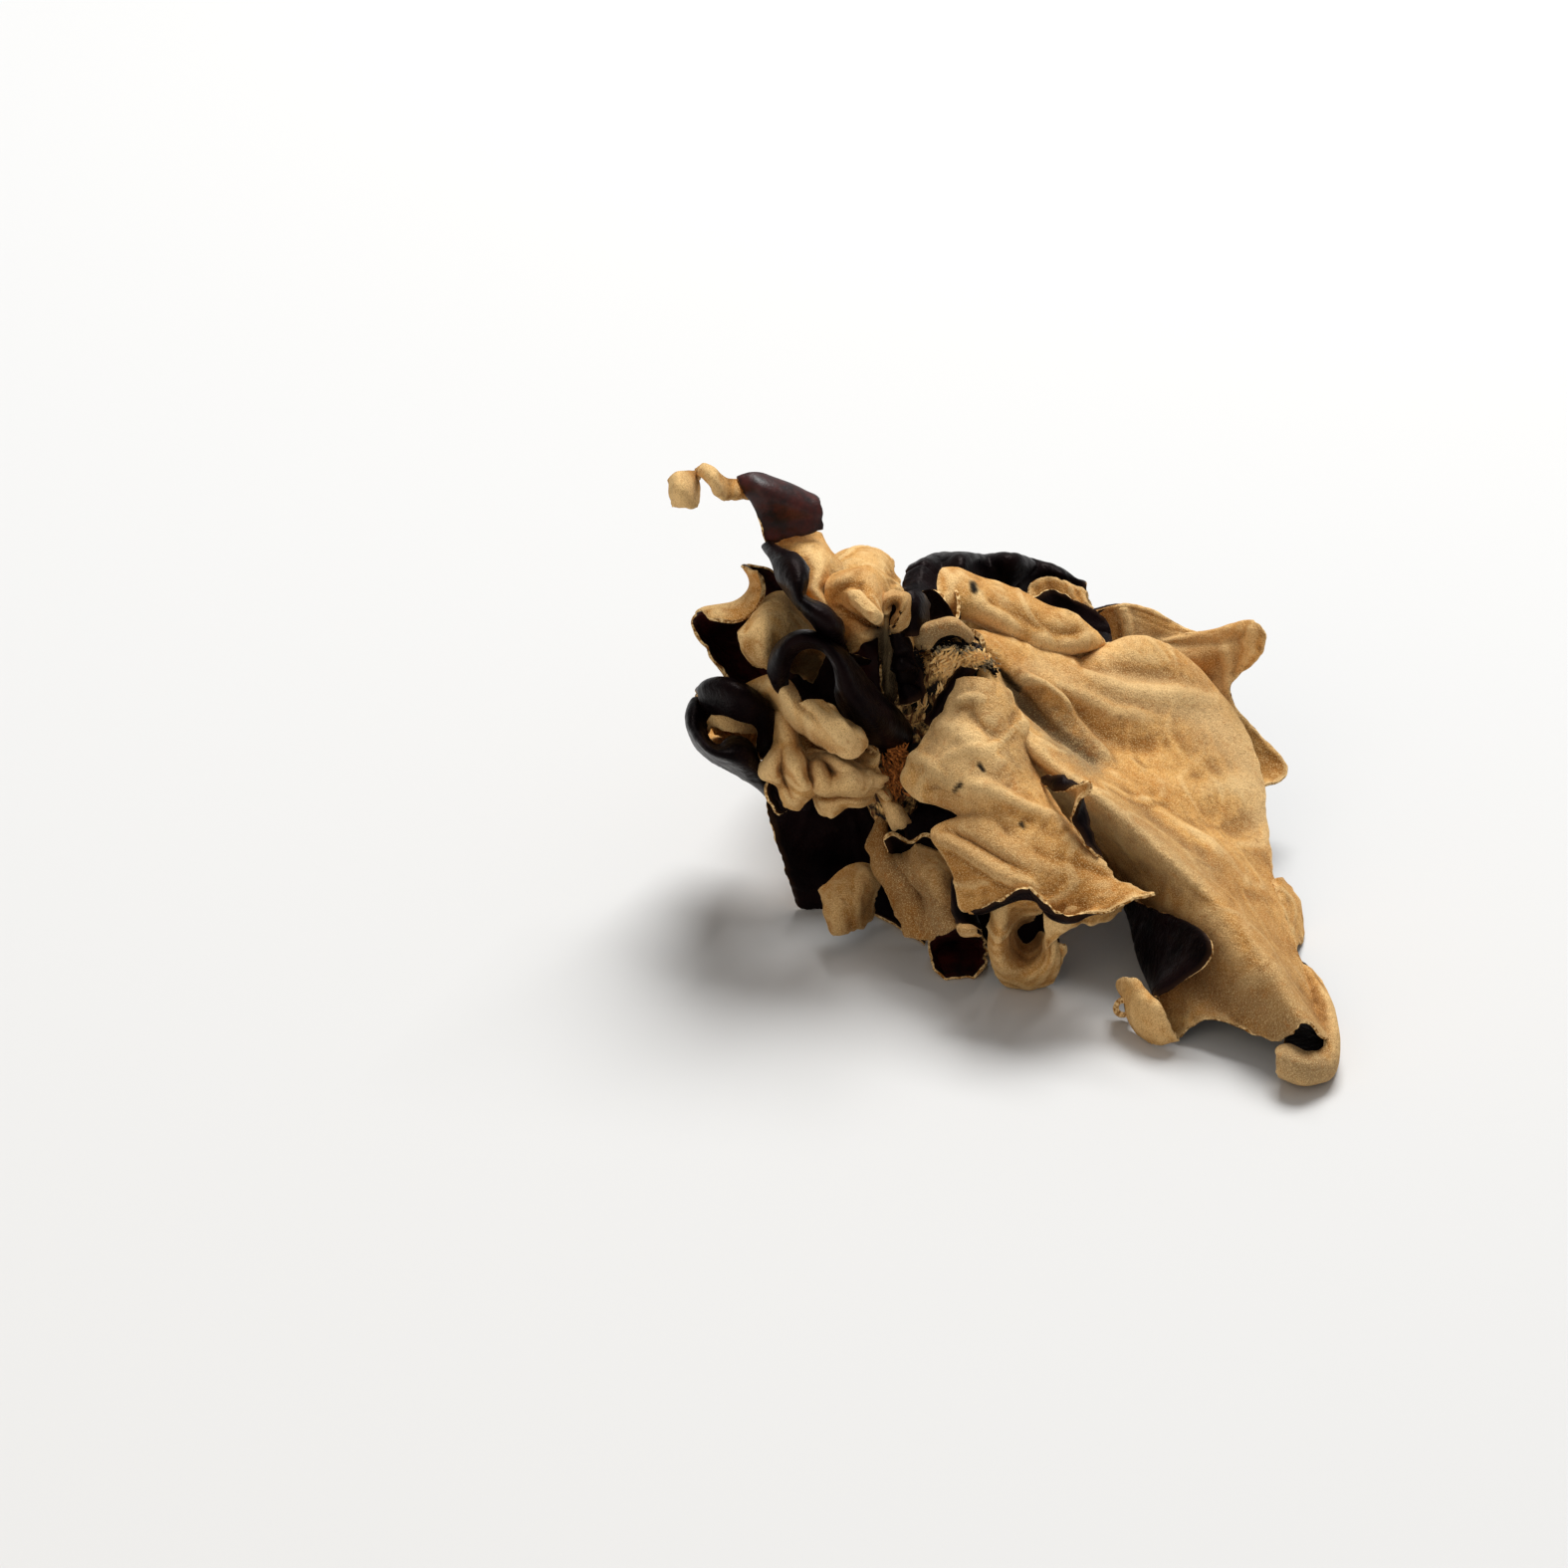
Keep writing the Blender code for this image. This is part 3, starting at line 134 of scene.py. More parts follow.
UPPER_EAR = [
    [(944, 580, 42), (942, 596, 35), (948, 616, 33), (950, 604, 44), (946, 582, 50)],
    [(958, 573, 46), (957, 592, 36), (962, 618, 35), (966, 606, 50), (960, 575, 54)],
    [(976, 578, 47), (975, 598, 36), (984, 626, 36), (990, 612, 54), (978, 581, 57)],
    [(1000, 584, 48), (1000, 606, 36), (1010, 636, 38), (1018, 620, 58), (1002, 588, 60)],
    [(1032, 599, 49), (1030, 620, 39), (1040, 648, 41), (1050, 630, 60), (1036, 598, 63)],
    [(1055, 611, 49), (1056, 630, 41), (1066, 654, 43), (1072, 634, 61), (1056, 590, 67)],
    [(1076, 616, 49), (1078, 634, 44), (1088, 653, 46), (1092, 636, 61), (1080, 601, 67)],
    [(1094, 628, 51), (1097, 638, 48), (1103, 650, 50), (1108, 642, 61), (1104, 616, 67)],
    [(1104, 638, 53), (1108, 643, 53), (1112, 648, 54), (1117, 646, 59), (1117, 634, 65)],
]

BACK_EAR = [
    [(905, 600, 48), (907, 588, 58), (913, 573, 69), (914, 590, 82), (912, 640, 92), (908, 742, 101)],
    [(925, 600, 48), (926, 582, 56), (928, 563, 68), (928, 577, 84), (926, 640, 95), (922, 746, 104)],
    [(945, 600, 52), (945, 580, 63), (946, 558, 75), (946, 575, 90), (944, 640, 101), (942, 752, 108)],
    [(966, 604, 58), (967, 581, 62), (968, 558, 69), (968, 573, 87), (966, 640, 101), (964, 755, 107)],
    [(992, 606, 68), (991, 582, 73), (990, 560, 80), (992, 574, 94), (992, 640, 106), (990, 758, 112)],
    [(1016, 611, 74), (1016, 586, 76), (1015, 560, 77), (1018, 574, 92), (1018, 640, 103),
     (1018, 758, 109)],
    [(1042, 616, 80), (1043, 592, 83), (1042, 567, 86), (1046, 579, 98), (1048, 640, 106),
     (1050, 757, 111)],
    [(1064, 622, 82), (1065, 597, 83), (1065, 573, 83), (1070, 586, 95), (1074, 640, 103),
     (1080, 753, 107)],
    [(1086, 630, 83), (1089, 612, 84), (1089, 590, 85), (1096, 601, 93), (1104, 640, 98),
     (1116, 742, 101)],
]

TALL_EAR_STEM = [
    [(774, 547, 24), (797, 556, 11), (809, 565, 7), (814, 576, 6), (811, 589, 4), (811, 600, 2),
     (828, 607, -1), (840, 616, -2), (848, 626, 0), (850, 638, 3), (852, 650, 11), (868, 660, 19),
     (902, 668, 24)],
    [(772, 548, 23), (786, 560, 9), (795, 569, 3), (799, 580, 0), (801, 591, -2), (805, 603, -3),
     (818, 613, -6), (830, 624, -7), (837, 634, -5), (841, 645, 1), (846, 656, 10), (864, 665, 19),
     (901, 672, 24)],
    [(768, 549, 25), (775, 562, 15), (779, 574, 11), (783, 585, 8), (791, 595, 6), (799, 606, 3),
     (808, 616, 0), (817, 626, 0), (823, 636, 3), (829, 648, 8), (836, 660, 15), (859, 669, 21),
     (901, 676, 26)],
    [(778, 547, 28), (792, 560, 22), (803, 574, 17), (806, 586, 13), (806, 596, 12), (812, 606, 10),
     (822, 618, 8), (832, 628, 8), (838, 638, 10), (843, 650, 14), (849, 660, 19), (868, 668, 23),
     (902, 676, 27)],
    [(798, 542, 30), (812, 556, 21), (821, 570, 15), (819, 584, 11), (817, 594, 9), (823, 604, 8),
     (833, 616, 9), (842, 626, 10), (848, 637, 13), (853, 648, 17), (858, 658, 21), (874, 667, 25),
     (903, 675, 29)],
    [(816, 538, 32), (826, 552, 26), (832, 567, 20), (829, 582, 15), (824, 592, 12), (829, 603, 11),
     (839, 614, 12), (848, 625, 13), (854, 636, 16), (858, 647, 19), (864, 657, 23), (878, 666, 27),
     (904, 674, 31)],
    [(822, 539, 34), (833, 556, 31), (845, 571, 26), (839, 584, 20), (832, 595, 17), (836, 606, 15),
     (846, 616, 16), (855, 626, 17), (860, 637, 19), (864, 648, 22), (870, 657, 25), (882, 665, 29),
     (905, 672, 32)],
]

TALL_EAR_FLAG = [
    [(742, 488, 34), (740, 480, 30), (748, 497, 26), (760, 520, 25), (768, 548, 24)],
    [(765, 484, 36), (762, 478, 30), (768, 496, 25), (776, 520, 26), (785, 544, 25)],
    [(796, 496, 38), (794, 489, 32), (797, 504, 27), (801, 520, 27), (805, 539, 26)],
    [(822, 508, 40), (823, 500, 34), (827, 510, 30), (827, 521, 29), (826, 532, 28)],
]

TALL_EAR_RIBBON = [
    [(671, 484, 24), (672, 496, 20), (676, 508, 24)],
    [(680, 476, 18), (683, 494, 14), (690, 511, 18)],
    [(690, 474, 24), (694, 490, 21), (700, 508, 24)],
    [(700, 473, 30), (700, 481, 28), (701, 490, 29)],
    [(708, 468, 24), (706, 473, 22), (704, 479, 23)],
    [(716, 471, 19), (715, 481, 16), (713, 492, 18)],
    [(722, 477, 21), (722, 490, 18), (722, 502, 20)],
    [(730, 482, 27), (732, 492, 24), (734, 503, 25)],
    [(746, 483, 31), (750, 492, 29), (756, 502, 28)],
]

MID_EAR = [
    [(832, 583, 16), (829, 591, 13), (828, 600, 11), (831, 607, 10), (837, 613, 10), (845, 621, 10),
     (849, 632, 11), (851, 644, 12), (854, 656, 14)],
    [(839, 579, 16), (838, 586, 11), (840, 592, 9), (844, 598, 8), (850, 604, 7), (854, 618, 9),
     (857, 630, 8), (858, 641, 8), (860, 651, 11)],
    [(850, 575, 16), (849, 580, 10), (850, 586, 8), (853, 593, 7), (858, 601, 4), (862, 614, 8),
     (865, 627, 8), (866, 638, 6), (866, 645, 9)],
    [(862, 572, 16), (862, 577, 11), (863, 585, 8), (866, 597, 5), (869, 610, 1), (872, 619, 6),
     (875, 628, 8), (876, 636, 6), (875, 642, 10)],
    [(875, 572, 18), (876, 577, 13), (878, 587, 9), (880, 603, 5), (881, 620, 2), (883, 627, 6),
     (885, 634, 8), (885, 641, 9), (885, 648, 12)],
    [(888, 580, 22), (888, 585, 20), (889, 590, 19), (891, 598, 18), (892, 608, 19), (892, 622, 20),
     (891, 645, 19), (888, 672, 18), (884, 700, 16)],
    [(904, 594, 30), (905, 598, 28), (906, 603, 27), (908, 610, 27), (910, 622, 27), (912, 640, 27),
     (913, 662, 26), (912, 688, 24), (909, 712, 22)],
]

BACK_LEFT_EAR = [
    [(815, 625, 80), (825, 580, 62), (824, 602, 50), (850, 640, 34)],
    [(832, 612, 88), (838, 562, 64), (841, 590, 44), (862, 635, 30)],
    [(855, 608, 92), (858, 554, 66), (862, 584, 42), (873, 632, 28)],
    [(880, 608, 90), (880, 556, 66), (884, 586, 44), (886, 636, 30)],
    [(900, 614, 84), (898, 569, 66), (902, 598, 52), (900, 645, 34)],
]

LEFT_EAR = [
    [(709, 621, 14), (700, 612, 19), (694, 626, 21), (702, 642, 20), (717, 665, 17), (732, 684, 14)],
    [(724, 623, 12), (717, 611, 20), (716, 636, 31), (722, 652, 30), (735, 672, 26), (745, 690, 20)],
    [(740, 624, 14), (732, 609, 22), (738, 636, 34), (744, 655, 33), (752, 675, 28), (757, 692, 22)],
    [(756, 615, 16), (746, 602, 24), (756, 628, 35), (760, 650, 34), (764, 675, 29), (768, 692, 24)],
    [(766, 598, 18), (755, 588, 26), (766, 615, 34), (772, 640, 33), (776, 670, 28), (778, 690, 24)],
    [(766, 582, 20), (753, 575, 27), (774, 595, 31), (784, 620, 31), (788, 655, 28), (790, 685, 25)],
    [(760, 573, 22), (746, 567, 26), (774, 571, 26), (790, 590, 26), (797, 630, 27), (800, 680, 26)],
]

PATCH_EAR = [
    [(741, 636, 14), (743, 640, 12), (745, 646, 12), (748, 653, 12), (752, 661, 12), (758, 668, 13)],
    [(750, 629, 15), (752, 636, 9), (754, 646, 8), (757, 656, 7), (761, 664, 7), (765, 672, 9)],
    [(761, 613, 19), (763, 624, 10), (765, 640, 6), (768, 652, 5), (771, 663, 6), (773, 675, 8)],
    [(774, 600, 23), (776, 614, 14), (778, 632, 9), (779, 648, 8), (779, 660, 9), (779, 673, 12)],
    [(788, 597, 25), (790, 612, 17), (793, 630, 12), (794, 645, 12), (793, 658, 14), (790, 673, 16)],
    [(800, 607, 27), (804, 620, 20), (809, 636, 16), (810, 650, 17), (808, 664, 18), (803, 680, 20)],
    [(812, 614, 29), (820, 628, 24), (828, 642, 22), (828, 655, 22), (824, 668, 23), (816, 686, 24)],
]

HOOD_EAR = [
    [(788, 700, 4), (779, 692, 0), (774, 678, 1), (778, 680, 5)],
    [(790, 676, 0), (782, 668, -4), (776, 660, 1), (780, 664, 6)],
    [(796, 660, -2), (788, 650, -5), (785, 645, 2), (789, 650, 8)],
    [(808, 650, -3), (802, 640, -5), (800, 636, 3), (803, 642, 10)],
    [(826, 652, -3), (822, 643, -5), (821, 637, 4), (822, 645, 11)],
    [(840, 672, -3), (842, 660, -6), (848, 655, 4), (846, 662, 12)],
    [(840, 698, -2), (855, 688, -7), (868, 678, 5), (862, 688, 14)],
    [(848, 718, -2), (868, 708, -7), (884, 698, 6), (876, 708, 15)],
    [(864, 738, 1), (884, 726, -5), (900, 713, 8), (892, 722, 16)],
    [(882, 752, 7), (898, 740, 1), (912, 729, 11), (904, 737, 18)],
    [(898, 758, 14), (910, 750, 10), (922, 741, 15), (914, 748, 20)],
]

RUFFLE_LEAF = [
    [(748, 689, 12), (751, 700, 12), (754, 712, 14), (758, 724, 15), (762, 736, 15)],
    [(758, 684, 10), (762, 694, 8), (766, 706, 12), (771, 720, 13), (774, 734, 14)],
    [(770, 679, 8), (773, 690, 5), (777, 703, 10), (782, 718, 11), (786, 733, 11)],
    [(784, 680, 6), (785, 691, -1), (788, 705, -1), (793, 720, 1), (799, 734, 3)],
    [(797, 690, 3), (797, 702, -2), (801, 716, -4), (807, 730, -3), (812, 744, -1)],
    [(804, 706, -2), (808, 716, -5), (814, 727, -7), (821, 739, -6), (827, 753, -4)],
    [(819, 704, -3), (824, 716, -6), (831, 728, -9), (838, 742, -9), (842, 760, -7)],
    [(835, 705, -4), (841, 716, -7), (848, 728, -10), (855, 743, -9), (857, 761, -7)],
    [(847, 718, -4), (852, 725, -6), (859, 733, -8), (864, 743, -7), (866, 756, -4)],
    [(857, 726, -2), (862, 731, -3), (867, 737, -4), (869, 743, -3), (868, 750, -1)],
]

RUFFLE_FOOT = [
    [(776, 716, 13), (776, 732, 10), (776, 748, 7), (769, 761, 3), (763, 779, 0), (777, 785, 1),
     (784, 798, 1), (790, 809, 3)],
    [(780, 716, 10), (782, 732, 5), (783, 748, 1), (779, 760, -5), (776, 773, -7), (784, 787, -5),
     (791, 800, -4), (797, 813, 0)],
    [(784, 716, 8), (788, 732, 1), (789, 748, -2), (786, 762, -3), (785, 776, -1), (790, 790, -2),
     (797, 802, -4), (803, 813, 0)],
    [(788, 717, 8), (794, 734, 2), (795, 750, -3), (795, 762, -8), (799, 777, -10), (804, 790, -9),
     (806, 797, -6), (809, 804, -1)],
    [(792, 720, 9), (797, 736, 5), (798, 751, 0), (804, 764, -6), (808, 778, -7), (813, 788, -7),
     (816, 793, -5), (818, 796, 0)],
    [(794, 722, 13), (798, 738, 10), (801, 752, 6), (808, 766, 1), (812, 778, 1), (817, 788, 1),
     (820, 793, 2), (822, 796, 5)],
]

RUFFLE_SKIRT = [
    [(796, 730, 13), (802, 748, 11), (806, 762, 7), (811, 772, 0), (810, 784, 0), (814, 795, 2),
     (817, 800, 6), (820, 808, 6), (824, 818, 8)],
    [(812, 740, 12), (815, 752, 11), (818, 762, 4), (821, 766, -6), (822, 780, -8), (821, 794, -6),
     (821, 799, 1), (823, 808, 1), (828, 821, 4)],
    [(826, 748, 11), (828, 757, 9), (831, 761, -3), (832, 771, -1), (834, 783, -6), (835, 794, -8),
     (835, 799, 0), (834, 808, -1), (837, 824, 2)],
    [(840, 754, 10), (843, 762, 4), (846, 767, -6), (848, 776, -8), (848, 786, -10), (848, 794, -8),
     (847, 799, -1), (846, 805, -2), (847, 813, 2)],
    [(853, 760, 8), (857, 768, 3), (861, 774, -4), (863, 782, -8), (862, 790, -9), (862, 796, -7),
     (861, 800, -3), (861, 805, -4), (862, 810, 0)],
    [(866, 758, 6), (872, 768, 2), (876, 776, -1), (877, 784, -4), (876, 790, -4), (875, 795, -3),
     (874, 799, -1), (873, 803, -1), (871, 808, 2)],
    [(872, 748, 3), (880, 760, 1), (885, 773, 1), (887, 783, 1), (887, 790, 1), (885, 796, 2),
     (883, 799, 3), (881, 802, 3), (879, 806, 5)],
]

ROUND_EAR_SHELL = [
    [(703, 710, 15), (700, 697, 14), (699, 704, 24), (716, 738, 32)],
    [(716, 716, 10), (708, 688, 10), (711, 698, 26), (723, 740, 34)],
    [(730, 718, 5), (725, 683, 7), (729, 697, 27), (730, 742, 35)],
    [(744, 723, 3), (744, 688, 5), (744, 702, 27), (737, 744, 35)],
    [(756, 727, 4), (762, 699, 6), (759, 712, 25), (742, 745, 34)],
    [(760, 735, 5), (776, 719, 7), (769, 728, 23), (745, 747, 33)],
    [(760, 747, 6), (776, 742, 8), (768, 746, 22), (745, 750, 31)],
    [(757, 758, 8), (767, 763, 10), (760, 762, 20), (742, 754, 29)],
]

ROUND_EAR_CUP = [
    [(716, 712, 22), (704, 702, 19), (697, 706, 21), (702, 722, 30), (715, 726, 40)],
    [(713, 721, 15), (700, 714, 12), (691, 716, 16), (697, 734, 28), (715, 727, 40)],
    [(707, 731, 11), (697, 729, 8), (692, 730, 13), (700, 745, 26), (717, 728, 41)],
    [(709, 741, 8), (703, 741, 3), (700, 743, 8), (710, 756, 22), (722, 728, 41)],
    [(716, 749, 4), (712, 752, -2), (713, 755, 2), (722, 764, 20), (728, 729, 42)],
    [(725, 750, 2), (724, 757, -5), (726, 763, 0), (732, 769, 18), (734, 731, 42)],
    [(733, 743, 4), (736, 757, -5), (738, 769, 0), (742, 774, 18), (740, 733, 41)],
    [(742, 742, 5), (747, 760, -4), (750, 777, 2), (754, 781, 18), (747, 736, 40)],
    [(751, 747, 6), (757, 767, -1), (762, 786, 6), (764, 789, 18), (754, 741, 37)],
    [(759, 756, 8), (768, 776, 5), (775, 797, 12), (774, 798, 20), (761, 750, 34)],
]

ROUND_EAR_TONGUE = [
    [(706, 728, 14), (710, 740, 14)],
    [(713, 722, 11), (718, 730, 10)],
    [(722, 716, 9), (728, 735, 7)],
    [(742, 724, 9), (742, 737, 8)],
    [(764, 726, 14), (764, 737, 13)],
]

LOWER_LEFT_EAR = [
    [(884, 812, 15), (877, 832, 11), (871, 848, 7), (873, 863, 3), (882, 881, 0), (893, 897, -4),
     (901, 918, -8), (912, 937, -12)],
    [(889, 812, 12), (885, 832, 7), (884, 848, 3), (887, 866, -2), (895, 884, -5), (904, 902, -8),
     (911, 921, -13), (922, 945, -16)],
    [(891, 836, 8), (890, 847, 4), (891, 858, 0), (895, 871, -4), (902, 886, -7), (910, 902, -10),
     (917, 921, -14), (927, 946, -17)],
    [(896, 857, 3), (898, 863, -1), (902, 872, -4), (908, 882, -7), (914, 893, -9), (920, 907, -12),
     (926, 925, -16), (935, 945, -17)],
    [(906, 862, 1), (910, 868, -4), (914, 877, -7), (920, 887, -8), (925, 898, -9), (930, 911, -13),
     (936, 927, -17), (944, 941, -19)],
    [(921, 855, 0), (924, 864, -6), (929, 875, -11), (935, 887, -13), (939, 899, -14), (942, 911, -17),
     (947, 925, -20), (953, 935, -20)],
    [(936, 856, -1), (940, 866, -8), (945, 878, -13), (948, 890, -14), (950, 902, -16), (952, 914, -18),
     (956, 925, -20), (961, 931, -20)],
    [(949, 859, -1), (954, 868, -6), (957, 878, -9), (955, 890, -10), (955, 902, -13), (957, 912, -15),
     (961, 922, -17), (967, 929, -18)],
]

PITCHER_EAR = [
    [(1040, 920, -10), (1047, 912, -24), (1056, 904, -29), (1062, 897, -27)],
    [(1028, 924, -10), (1022, 914, -25), (1012, 903, -30), (1008, 894, -26)],
    [(1020, 932, -10), (1012, 930, -26), (1003, 926, -30), (995, 922, -25)],
    [(1020, 942, -10), (1011, 946, -25), (1001, 952, -29), (994, 957, -23)],
    [(1026, 950, -10), (1019, 961, -24), (1010, 974, -28), (1004, 983, -21)],
    [(1034, 951, -10), (1034, 966, -23), (1034, 982, -26), (1033, 992, -18)],
    [(1042, 945, -10), (1048, 957, -24), (1057, 968, -28), (1063, 975, -22)],
    [(1045, 934, -10), (1052, 940, -25), (1060, 945, -29), (1067, 947, -26)],
]

PITCHER_EAR_STRIP = [
    [(1050, 897, -24), (1050, 925, -31), (1050, 955, -27)],
    [(1080, 898, -27), (1075, 915, -33), (1068, 935, -31)],
    [(1105, 896, -25), (1100, 910, -29), (1095, 925, -27)],
    [(1130, 893, -19), (1130, 905, -22), (1129, 918, -22)],
]

BLADE_EAR = [
    [(1048, 778, -4), (1057, 775, -7), (1067, 776, -9), (1077, 782, -11), (1084, 788, -12),
     (1088, 794, -13), (1091, 803, -14), (1094, 818, -16), (1099, 834, -18), (1105, 849, -20),
     (1110, 865, -22)],
    [(1046, 781, -5), (1055, 785, -9), (1065, 787, -12), (1075, 789, -14), (1083, 790, -16),
     (1086, 796, -17), (1084, 806, -17), (1085, 819, -18), (1090, 835, -20), (1099, 851, -21),
     (1107, 861, -23)],
    [(1045, 785, -6), (1053, 793, -10), (1063, 796, -13), (1076, 792, -16), (1090, 784, -19),
     (1096, 790, -21), (1087, 803, -21), (1078, 819, -20), (1082, 836, -21), (1094, 851, -23),
     (1104, 858, -24)],
]

LOW_EAR = [
    [(820, 893, 2), (824, 908, -2), (828, 924, -4), (836, 940, -4)],
    [(832, 887, 4), (836, 902, -4), (840, 920, -7), (844, 938, -6)],
    [(844, 877, 5), (848, 894, -3), (850, 912, -6), (852, 936, -4)],
    [(858, 870, 7), (862, 888, -1), (862, 908, -3), (860, 931, 0)],
    [(872, 870, 9), (875, 883, 2), (872, 902, 2), (867, 922, 5)],
    [(884, 884, 11), (883, 890, 7), (878, 901, 7), (872, 913, 9)],
]

UNDER_EAR = [
    [(772, 702, 36), (766, 740, 30), (766, 775, 24), (770, 805, 18), (778, 840, 12),
     (790, 880, 12), (800, 914, 13)],
    [(800, 664, 40), (796, 740, 31), (800, 785, 24), (805, 815, 18), (812, 848, 15),
     (820, 884, 14), (826, 924, 13)],
    [(836, 644, 40), (838, 735, 31), (840, 790, 24), (845, 825, 18), (850, 852, 17),
     (856, 886, 15), (860, 926, 12)],
    [(868, 640, 36), (872, 735, 28), (876, 795, 22), (884, 835, 18), (890, 865, 17),
     (896, 900, 12), (898, 938, 6)],
    [(908, 650, 33), (905, 745, 28), (908, 812, 22), (916, 850, 17), (922, 885, 12),
     (928, 925, 4), (928, 962, -3)],
]

MAIN_EAR_TIP = [
    [(1281, 1051, -59), (1280, 1060, -62), (1281, 1072, -63), (1283, 1082, -62), (1286, 1078, -55),
     (1288, 1052, -46), (1284, 1016, -30)],
    [(1295, 1050, -59), (1294, 1061, -64), (1294, 1074, -65), (1295, 1085, -64), (1297, 1080, -56),
     (1299, 1050, -44), (1300, 1012, -27)],
    [(1309, 1057, -60), (1308, 1067, -65), (1309, 1078, -66), (1310, 1089, -65), (1311, 1082, -56),
     (1311, 1050, -43), (1312, 1012, -28)],
    [(1323, 1058, -59), (1324, 1067, -63), (1325, 1077, -64), (1326, 1086, -63), (1327, 1078, -55),
     (1325, 1048, -43), (1322, 1012, -31)],
    [(1330, 1051, -57), (1334, 1058, -59), (1337, 1067, -61), (1337, 1079, -61), (1338, 1070, -53),
     (1332, 1045, -43), (1326, 1018, -35)],
    [(1328, 1036, -51), (1334, 1038, -53), (1339, 1043, -55), (1342, 1055, -57), (1342, 1047, -51),
     (1336, 1032, -43), (1329, 1014, -36)],
    [(1321, 1014, -42), (1328, 1014, -44), (1334, 1015, -46), (1339, 1022, -48), (1338, 1016, -43),
     (1332, 1008, -37), (1324, 1000, -32)],
    [(1312, 992, -33), (1319, 990, -35), (1326, 992, -37), (1331, 998, -38), (1330, 994, -34),
     (1324, 988, -30), (1316, 983, -27)],
    [(1301, 966, -24), (1307, 968, -26), (1312, 971, -27), (1316, 976, -28), (1315, 973, -24),
     (1310, 968, -21), (1304, 964, -19)],
]

TUCKED_EAR = [
    [(957, 879, -21), (954, 893, -23), (953, 908, -24), (959, 928, -23)],
    [(964, 874, -20), (962, 893, -24), (963, 910, -25), (969, 931, -24)],
    [(976, 882, -16), (980, 899, -18), (982, 915, -20), (986, 934, -20)],
]

LOWER_LEFT_CUP = [
    [(935, 943, -13), (933, 956, -11), (938, 971, -16)],
    [(946, 933, -17), (948, 956, 0), (950, 983, -18)],
    [(962, 929, -18), (964, 956, 3), (966, 987, -18)],
    [(976, 932, -17), (981, 955, -1), (980, 981, -18)],
    [(985, 943, -14), (990, 955, -11), (988, 968, -16)],
]

MAIN_EAR_CORNER = [
    [(1125, 983, -32), (1129, 981, -36), (1137, 982, -38), (1145, 986, -37)],
    [(1123, 992, -32), (1128, 994, -37), (1141, 994, -41), (1158, 1001, -43)],
    [(1130, 1005, -34), (1133, 1008, -39), (1146, 1008, -44), (1167, 1011, -46)],
    [(1134, 1020, -37), (1139, 1023, -42), (1154, 1023, -46), (1174, 1024, -48)],
    [(1142, 1035, -40), (1150, 1039, -44), (1164, 1039, -47), (1181, 1037, -48)],
    [(1152, 1046, -42), (1160, 1049, -44), (1170, 1049, -46), (1185, 1043, -46)],
]

MAIN_EAR_EDGE = [
    [(1276, 888, 6), (1280, 904, 1), (1287, 924, -4), (1294, 944, -9), (1298, 960, -14)],
    [(1286, 882, 9), (1292, 898, 5), (1298, 917, 1), (1302, 935, -3), (1304, 950, -8)],
    [(1291, 887, 15), (1300, 900, 12), (1305, 916, 8), (1308, 933, 4), (1307, 950, -1)],
]

INNER_EAR = [
    [(902, 790, 21), (906, 825, 18), (914, 860, 13), (925, 890, 8), (936, 925, 2)],
    [(930, 790, 17), (938, 828, 13), (948, 868, 7), (958, 905, 1), (968, 938, -5)],
    [(960, 790, 13), (968, 830, 8), (976, 880, 1), (986, 920, -4), (996, 952, -8)],
    [(990, 790, 13), (1000, 830, 8), (1012, 880, 2), (1020, 925, -3), (1028, 955, -7)],
    [(1020, 800, 15), (1030, 840, 11), (1045, 885, 5), (1060, 925, -1), (1066, 950, -5)],
]

COLLAR_HOOD = [
    [(921, 652, 17), (918, 645, 15), (916, 638, 17), (922, 638, 25)],
    [(933, 652, 14), (928, 640, 11), (926, 629, 14), (932, 631, 26)],
    [(941, 642, 13), (940, 632, 10), (942, 623, 14), (944, 627, 27)],
    [(955, 636, 13), (956, 628, 10), (956, 621, 15), (956, 626, 28)],
    [(967, 639, 14), (968, 633, 12), (968, 628, 16), (964, 631, 28)],
    [(974, 647, 18), (976, 643, 17), (976, 638, 20), (970, 640, 29)],
]

COLLAR_RING = [
    [(893, 619, 10), (888, 619, 9), (882, 618, 14)],
    [(893, 610, 11), (889, 605, 9), (885, 598, 15)],
    [(897, 606, 12), (899, 599, 9), (902, 592, 16)],
    [(901, 609, 12), (908, 602, 8), (916, 596, 16)],
    [(900, 615, 11), (907, 612, 7), (917, 611, 14)],
    [(896, 621, 10), (902, 624, 7), (912, 630, 12)],
    [(892, 627, 10), (893, 632, 8), (896, 639, 13)],
]

COLLAR_CUP = [
    [(901, 600, 17), (903, 616, 15), (905, 640, 13)],
    [(912, 596, 16), (914, 612, 13), (914, 642, 11)],
    [(922, 595, 18), (923, 610, 14), (922, 640, 12)],
    [(930, 600, 20), (930, 612, 17), (928, 638, 15)],
    [(936, 608, 22), (935, 620, 19), (933, 640, 18)],
]

COLLAR_LOOP = [
    [(925, 594, 32), (928, 610, 31), (934, 628, 28)],
    [(937, 592, 31), (939, 608, 29), (943, 628, 27)],
    [(946, 598, 29), (948, 612, 28), (951, 630, 26)],
    [(953, 610, 28), (955, 620, 27), (957, 632, 26)],
    [(960, 622, 28), (961, 628, 28), (961, 634, 27)],
    [(963, 608, 31), (963, 618, 31), (962, 632, 29)],
    [(961, 595, 34), (962, 610, 34), (962, 630, 32)],
    [(954, 590, 37), (955, 606, 37), (958, 628, 35)],
    [(946, 593, 38), (949, 608, 38), (954, 626, 36)],
]

BASE_RADIUS = 8.0

